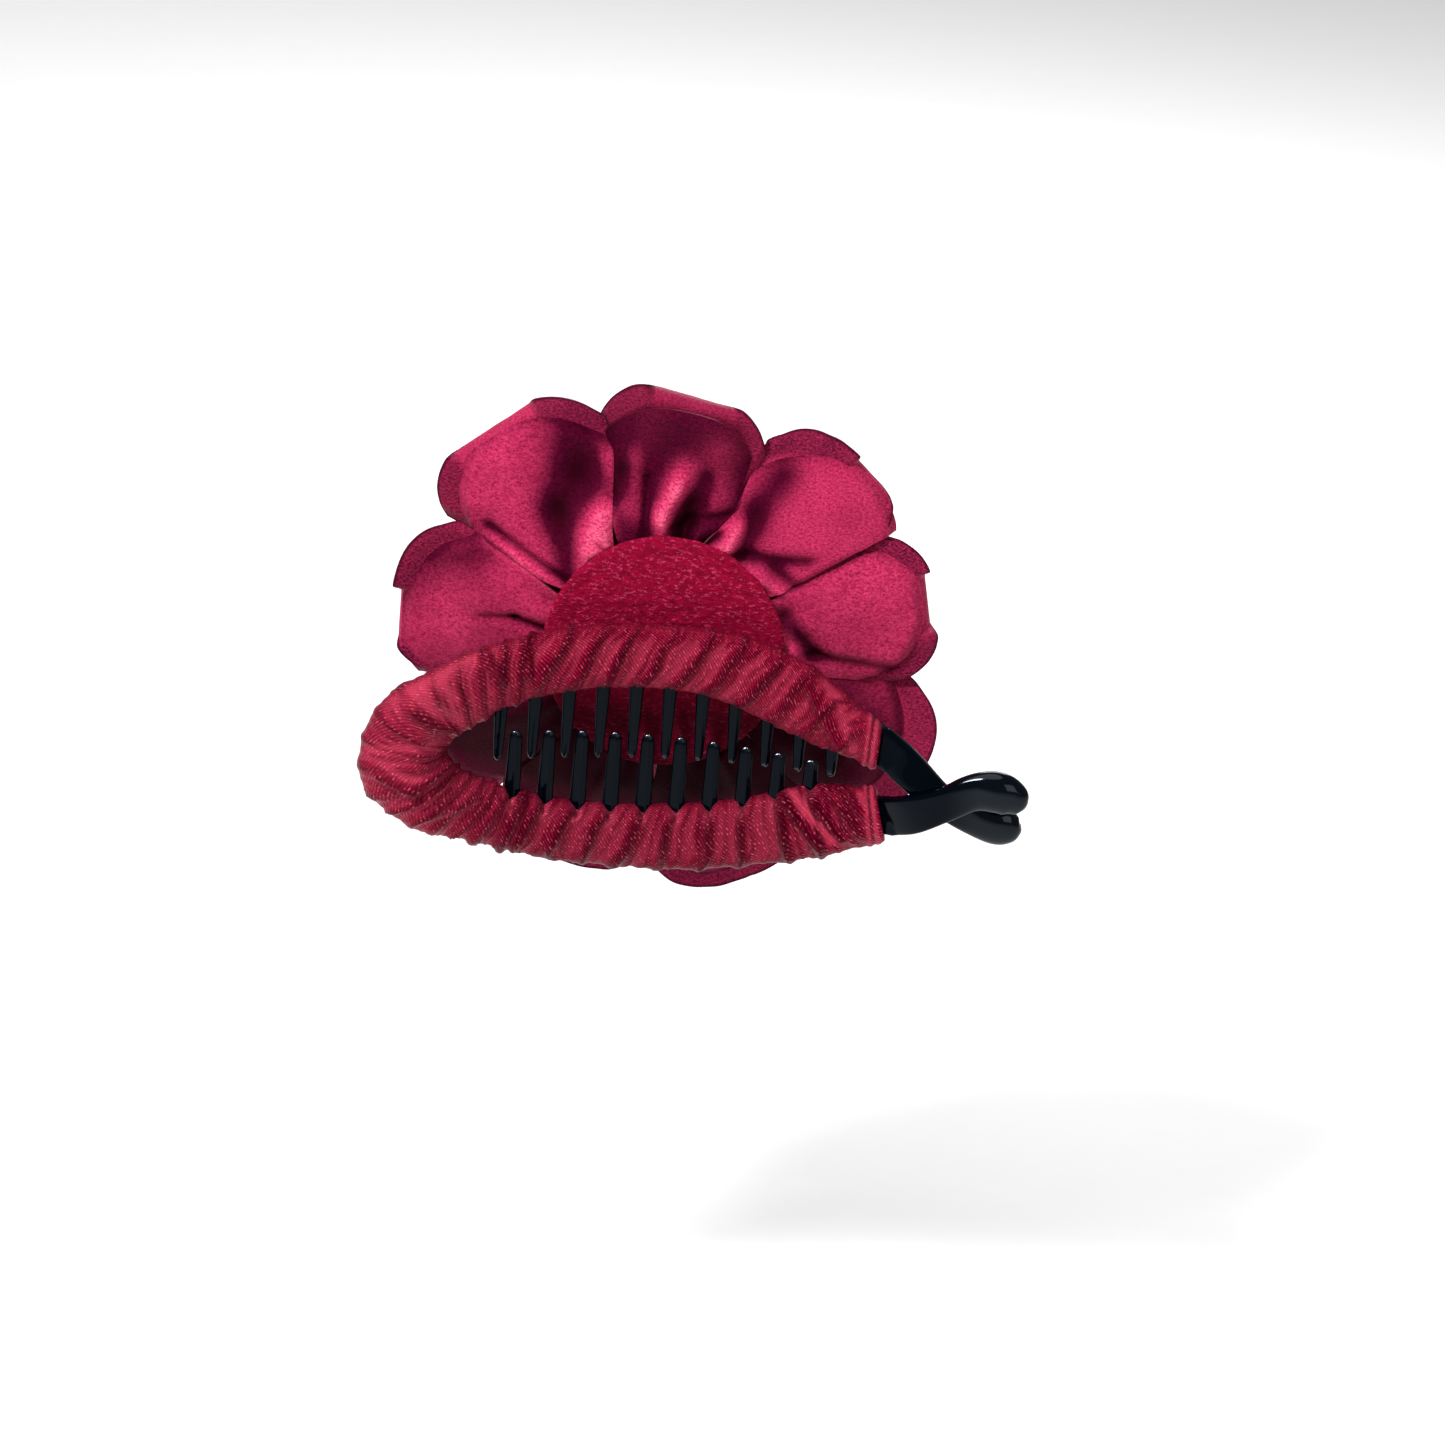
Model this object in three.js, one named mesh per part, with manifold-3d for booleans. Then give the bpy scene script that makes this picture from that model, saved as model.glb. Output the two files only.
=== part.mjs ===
// A banana hair clip with a satin flower: two comb arms hinged at -X with crossed thumb tails at +X,
// both inside ruched satin sleeves, and a flower of nine double back petals glued to the upper arm.
// Millimetres. +X runs from the hinge to the tails, +Y from the head to the flower, +Z from the lower
// arm to the upper one. The origin is the centre of the opening between the arms.
import * as THREE from "three";
import { mergeVertices } from "three/addons/utils/BufferGeometryUtils.js";
import Module from "manifold-3d";

const wasm = await Module();
wasm.setup();

// Driving sizes.
const HINGE_TO_MIDDLE = 53; // along X from the pin to the middle of the arch
const ARCH = 14; // how far the middle of the arms stands forward of their ends
const GAP = 0.35; // between pieces that touch in the real thing
const BAR_DEPTH = 3;
const PIN_RADIUS = 1.4;
const PIN_LENGTH = 7.6;
const RIVET_HEAD = 2.3;
const HOLE_RADIUS = 1.6;
const EAR_RADIUS = 4.2;
const FORK_DEPTH = 5.8;
const TONGUE_DEPTH = 2;
const SLOT_DEPTH = 2.7;
const SLOT_RADIUS = 5.3;
const SLEEVE_DEPTH = 8;
const TOOTH_DEPTH = 2.2;
const UPPER_TEETH = { count: 11, first: -34.9, pitch: 6.46, root: 3.1, tip: 1.8 };
const LOWER_TEETH = { count: 10, first: -31.7, pitch: 6.4, root: 3.4, tip: 2.6 };
const FLOWER = { x: -4.5, z: 17.9 };
const DISC_RADIUS = 23.5;
const DISC_BACK = 5;
const DISC_THICK = 1.4;
const CLOTH = 1; // thickness of a petal, two layers of satin and their filling of air

// The arm's centreline inside its sleeve: distance from the pin along X, height, bar half width and
// sleeve half width. The lower arm is the same below the middle.
const SPINE = [
  [0, 0, 3.4, 8.4],
  [1.6, 4.6, 3.4, 8.2],
  [4.8, 8.6, 3.6, 8.0],
  [9.5, 11.8, 3.9, 7.8],
  [15.5, 14.4, 4, 7.5],
  [23, 16.6, 4, 7.2],
  [33, 18.1, 4, 7.1],
  [47, 18.7, 4, 7.1],
  [60, 17.6, 4.1, 7.2],
  [70, 14.8, 4.2, 7.2],
  [79, 11.7, 4.2, 7.0],
  [86, 9.2, 4.2, 6.5],
  [92, 7.2, 4.1, 5.3],
];
// The tails past the sleeves: distance from the pin, height, offset in Y, half width, half depth.
const UPPER_TAIL = [
  [95.2, 4.9, 1.2, 3.8, 1.45],
  [98.6, 2.2, 1.8, 3.5, 1.4],
  [105, -2.4, 2.2, 2.9, 1.35],
  [110.5, -5, 2.6, 3.3, 1.9],
  [115.8, -6.3, 2.9, 4.1, 2.5],
  [119.4, -6.5, 2.9, 2.9, 1.9],
  [120.9, -6.4, 2.9, 1.1, 0.8],
];
const LOWER_TAIL = [
  [95.2, -6.6, -1.2, 4.2, 1.45],
  [98.8, -4.8, -1.8, 3.8, 1.4],
  [104.7, -1.4, -2.2, 3.4, 1.35],
  [109.9, 1.7, -2.7, 3.6, 2],
  [115, 2.5, -3.1, 4.1, 2.5],
  [119.2, 0.9, -3.1, 3.1, 2],
  [120.8, -0.5, -3.1, 1.2, 0.9],
];
// Petal layers from the back of the flower to its front. Each profile runs from the root to the rim
// as distance from the flower's axis and distance in Y. Petals of one layer sit side by side.
const BACK_PROFILE = [
  [8, 7.5],
  [16, 7.4],
  [26, 7.3],
  [34, 7.8],
  [42, 9.4],
  [48.5, 11.6],
];
const OUTER_PROFILE = [
  [8, 9.7],
  [18, 9.8],
  [30, 10.6],
  [40, 12.6],
  [47, 14.6],
  [51.6, 16.6],
  [53.2, 19.6],
];
const MIDDLE_PROFILE = [
  [8, 12.2],
  [18, 13.4],
  [28, 17],
  [35, 22],
  [38.5, 28],
];
const INNER_PROFILE = [
  [8.8, 15],
  [15, 16.6],
  [21, 21],
  [25, 27.5],
  [26, 33],
];
const HEART_PROFILE = [
  [9.6, 18.4],
  [12.6, 20.4],
  [15, 26],
  [15.8, 34],
];
// The nine back lobes, which are spread by hand and so uneven: the direction of the gap where each
// starts, its size against the profiles, and how much longer its far side is than its near side.
const LOBES = [
  { from: 30.9, size: 1, lean: 0 },
  { from: 67.5, size: 0.96, lean: 0.05 },
  { from: 109.1, size: 1.04, lean: 0.02 },
  { from: 154.5, size: 1, lean: 0 },
  { from: 193.8, size: 0.98, lean: 0 },
  { from: 228, size: 0.96, lean: 0 },
  { from: 270, size: 0.98, lean: 0 },
  { from: 316, size: 1.04, lean: 0 },
  { from: 354.8, size: 0.98, lean: 0 },
];
const BUD_PROFILE = [
  [0, 7],
  [6.6, 7],
  [6.9, 12],
  [7.6, 20],
  [9.2, 27],
  [8.6, 33],
  [5.4, 36.4],
  [0, 37.2],
];

const PLASTIC = { color: 0x05070d, roughness: 0.12, metalness: 0 };
const STEEL = { color: 0x9a9da3, roughness: 0.35, metalness: 0.9 };
const RIBBON = { color: 0x8c1838, roughness: 0.5, metalness: 0 };
const VELVET = { color: 0x8a0a2c, roughness: 0.95, metalness: 0 };
const GLUE = { color: 0xd8d2c4, roughness: 0.6, metalness: 0 };
const SATIN = { color: 0xa82450, roughness: 0.4, metalness: 0 };

const group = new THREE.Group();

function add(name, geometry, look) {
  const mesh = new THREE.Mesh(geometry, new THREE.MeshStandardMaterial(look));
  mesh.name = name;
  group.add(mesh);
}

// Solids for the boolean cuts, and back to geometry.
function solidOf(geometry) {
  const bare = new THREE.BufferGeometry();
  bare.setAttribute("position", geometry.getAttribute("position"));
  bare.setIndex(geometry.index);
  const merged = mergeVertices(bare, 1e-4);
  return new wasm.Manifold(
    new wasm.Mesh({
      numProp: 3,
      vertProperties: merged.attributes.position.array,
      triVerts: new Uint32Array(merged.index.array),
    }),
  );
}

function geometryOf(solid) {
  const mesh = solid.getMesh();
  const geometry = new THREE.BufferGeometry();
  const positions = new Float32Array(mesh.numVert * 3);
  for (let i = 0; i < mesh.numVert; i += 1) {
    const start = i * mesh.numProp;
    positions.set(mesh.vertProperties.subarray(start, start + 3), i * 3);
  }
  geometry.setAttribute("position", new THREE.BufferAttribute(positions, 3));
  geometry.setIndex(new THREE.BufferAttribute(new Uint32Array(mesh.triVerts), 1));
  return geometry;
}

// A closed skin over rings of equal point count, with a cap at each end. The caps run across the ring
// in strips, so a ring that is a thin curved band is closed along its own curve.
function skin(rings) {
  const count = rings[0].length;
  const last = (rings.length - 1) * count;
  const faces = [];
  for (let i = 0; i + 1 < rings.length; i += 1) {
    for (let j = 0; j < count; j += 1) {
      const a = i * count + j;
      const b = i * count + ((j + 1) % count);
      faces.push(a, b, a + count, b, b + count, a + count);
    }
  }
  for (let j = 0; j < count / 2 - 1; j += 1) {
    const next = j + 1;
    const acrossNext = count - 2 - j;
    const across = count - 1 - j;
    faces.push(across, acrossNext, next, across, next, j);
    faces.push(last + j, last + next, last + acrossNext);
    faces.push(last + j, last + acrossNext, last + across);
  }
  const geometry = new THREE.BufferGeometry();
  const positions = rings.flat().flatMap((point) => point.toArray());
  geometry.setAttribute("position", new THREE.Float32BufferAttribute(positions, 3));
  geometry.setIndex(faces);
  return geometry;
}

// A smooth line through rows of any number of values, and the row at a share of its length.
function lineThrough(rows) {
  const segments = rows.length - 1;
  return (share) => {
    const along = Math.min(Math.max(share, 0), 1) * segments;
    const i = Math.min(Math.floor(along), segments - 1);
    const t = along - i;
    return rows[i].map((value, k) => {
      const before = rows[Math.max(i - 1, 0)][k];
      const next = rows[i + 1][k];
      const after = rows[Math.min(i + 2, segments)][k];
      const inward = (next - before) / 2;
      const outward = (after - value) / 2;
      const bend = 3 * (next - value) - 2 * inward - outward;
      const twist = 2 * (value - next) + inward + outward;
      return value + inward * t + bend * t * t + twist * t * t * t;
    });
  };
}

// The depth of the arch at a distance from the pin. It flattens out at the pin and at the thumb pads.
function archY(fromPin) {
  const share = (fromPin - HINGE_TO_MIDDLE) / HINGE_TO_MIDDLE;
  const curve = Math.max(-ARCH * share * share, -ARCH - 1);
  const pads = -ARCH + 0.8;
  const pin = -ARCH + 0.6;
  const offPin = THREE.MathUtils.smoothstep(fromPin, 1, 11);
  const nearPads = THREE.MathUtils.smoothstep(fromPin, 94, 112);
  const start = pin * (1 - offPin) + curve * offPin;
  return start * (1 - nearPads) + pads * nearPads;
}

// Rings across a line of stations: each station is centre, half width across the tangent in the XZ
// plane, and half depth near Y. Power 1 gives an ellipse and a smaller power a squarer section.
function ringsAlong(stations, points, power) {
  const depthAxis = new THREE.Vector3(0, 1, 0);
  return stations.map((station, i) => {
    const before = stations[Math.max(i - 1, 0)].centre;
    const after = stations[Math.min(i + 1, stations.length - 1)].centre;
    const tangent = new THREE.Vector3().subVectors(after, before).normalize();
    const width = new THREE.Vector3().crossVectors(depthAxis, tangent).normalize();
    const depth = new THREE.Vector3().crossVectors(tangent, width);
    const ring = [];
    for (let j = 0; j < points; j += 1) {
      const angle = ((j + 0.5) / points) * Math.PI * 2;
      const across = Math.cos(angle);
      const deep = Math.sin(angle);
      ring.push(
        station.centre
          .clone()
          .addScaledVector(width, Math.sign(across) * Math.abs(across) ** power * station.width)
          .addScaledVector(depth, Math.sign(deep) * Math.abs(deep) ** power * station.depth),
      );
    }
    return ring;
  });
}

const spineLine = lineThrough(SPINE);

// One station of an arm's sleeved stretch. side is 1 for the upper arm and -1 for the lower one.
function spineStation(share, side, width, depth) {
  const [fromPin, height] = spineLine(share);
  const centre = new THREE.Vector3(fromPin - HINGE_TO_MIDDLE, archY(fromPin), side * height);
  return { centre, width, depth };
}

function spread(from, to, count) {
  return Array.from({ length: count }, (_, i) => from + ((to - from) * i) / (count - 1));
}

// The share of the spine that lies a distance from the pin.
function shareAt(fromPin) {
  let low = 0;
  let high = 1;
  for (let i = 0; i < 40; i += 1) {
    const middle = (low + high) / 2;
    if (spineLine(middle)[0] < fromPin) {
      low = middle;
    } else {
      high = middle;
    }
  }
  return (low + high) / 2;
}

// The bar of an arm from the pin to the end of its thumb pad, grown by a margin for cutting.
function barSolid(side, tail, pinDepth, margin, withTail) {
  const stations = spread(0, 1, 14).map((share) => {
    const half = spineLine(share)[2] + margin;
    const thin = THREE.MathUtils.smoothstep(share * (SPINE.length - 1), 1, 3);
    const depth = pinDepth + (BAR_DEPTH / 2 - pinDepth) * thin + margin;
    return spineStation(share, side, half, depth);
  });
  if (withTail) {
    const tailLine = lineThrough(tail);
    const tailStations = spread(0, 1, 13).map((share) => {
      const [fromPin, height, offset, width, depth] = tailLine(share);
      const centre = new THREE.Vector3(
        fromPin - HINGE_TO_MIDDLE,
        archY(fromPin) + offset,
        height,
      );
      return { centre, width, depth };
    });
    stations.push(...tailStations);
  } else {
    const [fromPin, height, offset, width, depth] = tail[0];
    const centre = new THREE.Vector3(
      fromPin - HINGE_TO_MIDDLE,
      archY(fromPin) + offset,
      height,
    );
    stations.push({ centre, width: width + margin, depth: depth + margin });
  }
  return solidOf(skin(ringsAlong(stations, 10, 0.6)));
}

// A cylinder along Y centred on the pin.
function pinDisc(radius, depth, sides) {
  const geometry = new THREE.CylinderGeometry(radius, radius, depth, sides);
  geometry.translate(-HINGE_TO_MIDDLE, archY(0), 0);
  return solidOf(geometry);
}

// One comb tooth: a blade from inside the bar to a rounded tip. side -1 points down, 1 points up.
function toothSolid(x, side, teeth, tipZ) {
  const fromPin = x + HINGE_TO_MIDDLE;
  const share = shareAt(fromPin);
  const rootZ = -side * (spineLine(share)[1] - 2.5);
  const length = Math.abs(tipZ - rootZ);
  const along = [0, 0.86, 0.95, 1];
  const swell = [1, 0.82, 0.66, 0.3];
  const rings = along.map((share2, i) => {
    const width = (teeth.root + (teeth.tip - teeth.root) * share2) / 2;
    const z = rootZ + side * length * share2;
    const ring = [];
    for (let j = 0; j < 6; j += 1) {
      const angle = side * (j / 6) * Math.PI * 2;
      const halfWidth = i < 2 ? width : width * swell[i] * 1.15;
      const halfDepth = (TOOTH_DEPTH / 2) * swell[i];
      ring.push(
        new THREE.Vector3(
          x + Math.cos(angle) * halfWidth,
          archY(fromPin) + Math.sin(angle) * halfDepth,
          z,
        ),
      );
    }
    return ring;
  });
  return solidOf(skin(rings));
}

function upperTipZ(x) {
  return -3 + 0.0246 * (x + 34.9);
}

function lowerTipZ(x) {
  return 3.1 - 0.0005 * (x + 32) ** 2;
}

function toothPlaces(teeth) {
  return Array.from({ length: teeth.count }, (_, i) => teeth.first + i * teeth.pitch);
}

// The slot that a tooth leaves in the sleeve round it.
function toothSlot(x, side, teeth) {
  const fromPin = x + HINGE_TO_MIDDLE;
  const height = spineLine(shareAt(fromPin))[1];
  const slot = new THREE.BoxGeometry(teeth.root + 2 * GAP, TOOTH_DEPTH + 2 * GAP, height - 1.5);
  slot.translate(x, archY(fromPin), (-side * (height - 1.5)) / 2);
  return solidOf(slot);
}

const upperTeeth = toothPlaces(UPPER_TEETH).map((x) => toothSolid(x, -1, UPPER_TEETH, upperTipZ(x)));
const lowerTeeth = toothPlaces(LOWER_TEETH).map((x) => toothSolid(x, 1, LOWER_TEETH, lowerTipZ(x)));
const upperSlots = toothPlaces(UPPER_TEETH).map((x) => toothSlot(x, -1, UPPER_TEETH));
const lowerSlots = toothPlaces(LOWER_TEETH).map((x) => toothSlot(x, 1, LOWER_TEETH));

function joined(first, others) {
  return others.reduce((sum, other) => sum.add(other), first);
}

function cutBy(first, others) {
  return others.reduce((sum, other) => sum.subtract(other), first);
}

// The upper arm ends in a fork round the pin and the lower arm in a tongue between its ears.
const forkBar = barSolid(1, UPPER_TAIL, FORK_DEPTH / 2, 0, true);
const upperArm = joined(forkBar, [pinDisc(EAR_RADIUS, FORK_DEPTH, 20), ...upperTeeth])
  .subtract(pinDisc(SLOT_RADIUS, SLOT_DEPTH, 20))
  .subtract(pinDisc(HOLE_RADIUS, 20, 16));
add("upper_arm", geometryOf(upperArm), PLASTIC);

const tongueBar = barSolid(-1, LOWER_TAIL, TONGUE_DEPTH / 2, 0, true);
const lowerArm = joined(tongueBar, [pinDisc(EAR_RADIUS, TONGUE_DEPTH, 20), ...lowerTeeth])
  .subtract(pinDisc(HOLE_RADIUS, 20, 16));
add("lower_arm", geometryOf(lowerArm), PLASTIC);

// The pin is a rivet with a low head at each end.
const rivet = joined(pinDisc(PIN_RADIUS, PIN_LENGTH, 16), [
  pinDisc(RIVET_HEAD, 0.6, 16).translate([0, PIN_LENGTH / 2 - 0.3, 0]),
  pinDisc(RIVET_HEAD, 0.6, 16).translate([0, 0.3 - PIN_LENGTH / 2, 0]),
]);
add("hinge_pin", geometryOf(rivet), STEEL);

// Sleeves. The cloth tube over each arm is cut by its bar and teeth with a little air round them.
const BOOT_END = shareAt(4.9);
const SLEEVE_START = shareAt(5.4);
const HEM_START = shareAt(88);
const hollowUpper = [barSolid(1, UPPER_TAIL, FORK_DEPTH / 2, GAP, false), ...upperSlots];
const hollowLower = [barSolid(-1, LOWER_TAIL, TONGUE_DEPTH / 2, GAP, false), ...lowerSlots];

function sleeveSolid(from, to, side, depth, count, puff) {
  const stations = spread(from, to, count).map((share) =>
    spineStation(share, side, spineLine(share)[3] + puff, depth / 2 + puff),
  );
  return solidOf(skin(ringsAlong(stations, 12, 0.85)));
}

// The last stretch of the sleeve is its folded hem, which draws in to the bar.
function hemSolid(side) {
  const stations = spread(HEM_START + 0.004, 1, 4).map((share, i) =>
    spineStation(share, side, spineLine(share)[3] - 0.1, SLEEVE_DEPTH / 2 - 0.4 - 0.15 * i),
  );
  return solidOf(skin(ringsAlong(stations, 12, 0.85)));
}

const upperTube = sleeveSolid(SLEEVE_START, HEM_START, 1, SLEEVE_DEPTH, 13, 0);
const lowerTube = sleeveSolid(SLEEVE_START, HEM_START, -1, SLEEVE_DEPTH, 13, 0);
add("sleeve_upper", geometryOf(cutBy(upperTube, hollowUpper)), RIBBON);
add("sleeve_lower", geometryOf(cutBy(lowerTube, hollowLower)), RIBBON);
add("hem_upper", geometryOf(cutBy(hemSolid(1), hollowUpper)), RIBBON);
add("hem_lower", geometryOf(cutBy(hemSolid(-1), hollowLower)), RIBBON);

// The middle of the ribbon wraps the hinge and meets both sleeves.
const bootUpper = sleeveSolid(0.02, BOOT_END, 1, SLEEVE_DEPTH + 1, 5, 0.2);
const bootLower = sleeveSolid(0.02, BOOT_END, -1, SLEEVE_DEPTH + 1, 5, 0.2);
const bootEnd = pinDisc(8.9, SLEEVE_DEPTH - 1.5, 20).add(pinDisc(7.8, SLEEVE_DEPTH + 1.4, 20));
const bootStop = [1, -1].map((side) =>
  sleeveSolid(shareAt(5.1), shareAt(40), side, SLEEVE_DEPTH + 3, 8, GAP),
);
const boot = cutBy(joined(bootEnd, [bootUpper, bootLower]), [
  pinDisc(EAR_RADIUS + 0.6, FORK_DEPTH + 2 * GAP, 20),
  pinDisc(RIVET_HEAD + GAP, PIN_LENGTH + 2 * GAP, 16),
  ...bootStop,
  ...hollowUpper,
  ...hollowLower,
]);
add("sleeve_hinge", geometryOf(boot), RIBBON);

// Glue between the back of the upper sleeve and the velvet disc.
const padRings = spread(-17, 11, 6).map((x) => {
  const back = archY(x + HINGE_TO_MIDDLE) + SLEEVE_DEPTH / 2 + GAP;
  const front = DISC_BACK - GAP;
  return [
    new THREE.Vector3(x, back, 14.6),
    new THREE.Vector3(x, front, 14),
    new THREE.Vector3(x, front, 23),
    new THREE.Vector3(x, back, 22.4),
  ];
});
add("glue_pad", skin(padRings), GLUE);

// The velvet disc that covers the gathered roots of the petals.
const discProfile = [
  [0, 0],
  [DISC_RADIUS - 0.5, 0],
  [DISC_RADIUS, 0.5],
  [DISC_RADIUS, DISC_THICK - 0.3],
  [DISC_RADIUS - 0.3, DISC_THICK],
  [0, DISC_THICK],
].map(([r, y]) => new THREE.Vector2(r, y));
const disc = new THREE.LatheGeometry(discProfile, 36);
disc.translate(FLOWER.x, DISC_BACK, FLOWER.z);
add("backing_disc", disc, VELVET);

// The rolled bud. Petal roots are stitched round its stem.
const budPoints = BUD_PROFILE.map(([r, y]) => new THREE.Vector2(r, y));
const bud = new THREE.LatheGeometry(budPoints, 16);
bud.translate(FLOWER.x, 0, FLOWER.z);
add("bud", bud, SATIN);

// A petal: a curved sheet between two radial edges, with a rounded rim, made into a thin solid.
// Its edges stand further forward than its middle by cup.
// Past its root it is scaled by size, and more on its far side than its near side by lean.
function petalGeometry({ profile, from, to, size, lean, rounding, cup, across, along }) {
  const line = lineThrough(profile);
  const middle = (THREE.MathUtils.degToRad(to) + THREE.MathUtils.degToRad(from)) / 2;
  const half = (THREE.MathUtils.degToRad(to) - THREE.MathUtils.degToRad(from)) / 2;
  const point = (u, v) => {
    const [plain, y] = line(v * (1 - rounding * Math.abs(u) ** 2.6));
    const growth = size * (1 + lean * u) - 1;
    const radius = plain * (1 + growth * THREE.MathUtils.smoothstep(plain, 15, 45));
    const reach = half - 0.45 / radius;
    const angle = middle + u * reach;
    const lift = cup * u * u * THREE.MathUtils.smoothstep(radius, 10, 50);
    return new THREE.Vector3(
      FLOWER.x + radius * Math.cos(angle),
      y + lift,
      FLOWER.z + radius * Math.sin(angle),
    );
  };
  const grid = [];
  for (let i = 0; i <= along; i += 1) {
    const row = [];
    for (let j = 0; j <= across; j += 1) {
      const u = -1 + (2 * j) / across;
      const v = i / along;
      const here = point(u, v);
      const step = 1e-3;
      const du = point(u + step, v).sub(point(u - step, v));
      const dv = point(u, v + step).sub(point(u, v - step));
      row.push({ here, normal: new THREE.Vector3().crossVectors(du, dv).normalize() });
    }
    grid.push(row);
  }
  const rings = grid.map((row) => {
    const front = row.map(({ here, normal }) => here.clone().addScaledVector(normal, CLOTH / 2));
    const back = row.map(({ here, normal }) => here.clone().addScaledVector(normal, -CLOTH / 2));
    return [...front, ...back.reverse()];
  });
  return skin(rings);
}

function petalRing(name, profile, petals, rounding, cup, across, along) {
  petals.forEach(({ from, size, lean }, i) => {
    const next = petals[(i + 1) % petals.length].from;
    const to = next > from ? next : next + 360;
    const shape = { profile, from, to, size, lean, rounding, cup, across, along };
    add(`${name}_${i + 1}`, petalGeometry(shape), SATIN);
  });
}

function evenPetals(count, start) {
  return Array.from({ length: count }, (_, i) => ({ from: start + (i * 360) / count, size: 1, lean: 0 }));
}

petalRing("petal_back", BACK_PROFILE, LOBES, 0.14, 3, 4, 7);
petalRing("petal_outer", OUTER_PROFILE, LOBES, 0.12, 3, 4, 8);
petalRing("petal_middle", MIDDLE_PROFILE, evenPetals(7, 10), 0.22, 2, 4, 5);
petalRing("petal_inner", INNER_PROFILE, evenPetals(5, 30), 0.22, 2, 6, 5);
petalRing("petal_heart", HEART_PROFILE, evenPetals(3, 75), 0.2, 1, 8, 4);

export default group;
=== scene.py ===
"""A banana hair clip with gathered satin sleeves and a large satin flower, built round the CAD frame."""

import math

import bpy
import numpy as np
from mathutils import Matrix, Vector


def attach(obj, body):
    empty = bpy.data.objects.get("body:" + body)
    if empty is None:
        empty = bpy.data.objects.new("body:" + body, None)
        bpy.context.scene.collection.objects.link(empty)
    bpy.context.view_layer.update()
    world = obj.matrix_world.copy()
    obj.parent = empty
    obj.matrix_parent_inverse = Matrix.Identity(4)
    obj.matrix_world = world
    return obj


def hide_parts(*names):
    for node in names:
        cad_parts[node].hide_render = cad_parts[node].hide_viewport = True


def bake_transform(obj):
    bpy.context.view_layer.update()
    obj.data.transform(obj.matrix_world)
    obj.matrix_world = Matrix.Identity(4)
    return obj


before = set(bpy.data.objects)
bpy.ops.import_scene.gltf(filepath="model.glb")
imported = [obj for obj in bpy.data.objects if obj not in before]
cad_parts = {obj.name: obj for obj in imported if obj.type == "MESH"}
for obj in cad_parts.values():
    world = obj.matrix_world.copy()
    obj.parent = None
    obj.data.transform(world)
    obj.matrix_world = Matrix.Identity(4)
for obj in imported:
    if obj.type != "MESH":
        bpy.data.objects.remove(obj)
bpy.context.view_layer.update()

# ---- Sizes ----
# In millimetres. Distances along the clip are from the hinge pin, and the origin is the middle of
# the opening, so X = distance - HINGE_TO_MIDDLE. The head is on the -Y side.
MM = 0.001
HINGE_TO_MIDDLE = 53.0
ARCH = 14.0  # how far both ends of the arms bend towards the head
HINGE_Y = -13.4
PADS_Y = -13.2
PIN_FLAT = (1, 11)  # the arch starts over these distances
PADS_FLAT = (94, 112)  # and ends over these
FLOWER_X = -4.5
FLOWER_Z = 17.9
DISC_RADIUS = 23.5
DISC_THICKNESS = 1.35
DISC_BACK = 5.0  # Y of the disc's face towards the head
PETAL_CLOTH = 0.32
SLEEVE_CLOTH = 0.3
PETAL_ROOT = 8.0  # radius at which the back lobes' cloth starts, under the disc
FLOOR_Z = -135.0

ROOT_BODY = "flower_arm"
MOVING_BODY = "lower_arm"

# Ribs of the gathered sleeve: outer edge (distance, height), inner edge, half depth.
UPPER_RIBS = [
    (91.6, 11.3, 91.0, 1.9, 3.3),
    (85.1, 15.8, 84.6, 3.1, 3.7),
    (78.5, 20.2, 78.0, 4.4, 4.0),
    (71.5, 22.9, 71.0, 6.6, 4.1),
    (64.0, 24.8, 63.5, 9.4, 4.1),
    (56.0, 25.6, 55.5, 11.2, 4.1),
    (46.0, 25.8, 46.0, 11.8, 4.1),
    (36.0, 25.3, 36.3, 11.3, 4.1),
    (27.0, 24.1, 28.0, 10.1, 4.2),
    (19.0, 22.3, 20.8, 8.0, 4.4),
    (12.0, 20.2, 15.6, 5.4, 4.6),
    (6.3, 18.0, 12.2, 3.5, 4.8),
    (1.2, 15.4, 10.2, 2.3, 5.0),
    (-3.0, 12.4, 9.3, 1.4, 5.1),
    (-5.9, 8.7, 8.9, 0.8, 5.2),
    (-8.0, 4.2, 8.7, 0.3, 5.2),
]
HINGE_RIB = (-8.9, -0.4, 8.6, -0.1, 5.2)
LOWER_RIBS = [
    (-8.8, -5.0, 8.8, -0.6, 5.2),
    (-6.9, -9.2, 9.2, -1.5, 5.2),
    (-3.4, -12.3, 10.0, -2.6, 5.1),
    (0.9, -14.9, 11.6, -4.2, 5.0),
    (6.2, -17.2, 14.2, -6.0, 4.8),
    (12.0, -19.2, 17.8, -7.5, 4.6),
    (19.5, -21.7, 22.6, -8.9, 4.4),
    (28.0, -23.9, 29.5, -10.5, 4.2),
    (37.0, -25.1, 37.5, -11.2, 4.1),
    (46.0, -25.5, 46.0, -11.2, 4.1),
    (56.0, -25.0, 55.5, -10.4, 4.1),
    (65.0, -23.6, 64.0, -8.6, 4.1),
    (73.0, -21.6, 72.0, -5.8, 4.1),
    (80.5, -19.2, 79.0, -3.2, 4.0),
    (87.3, -16.4, 86.0, -2.4, 3.8),
    (94.2, -12.4, 91.4, -1.7, 3.5),
]

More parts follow.
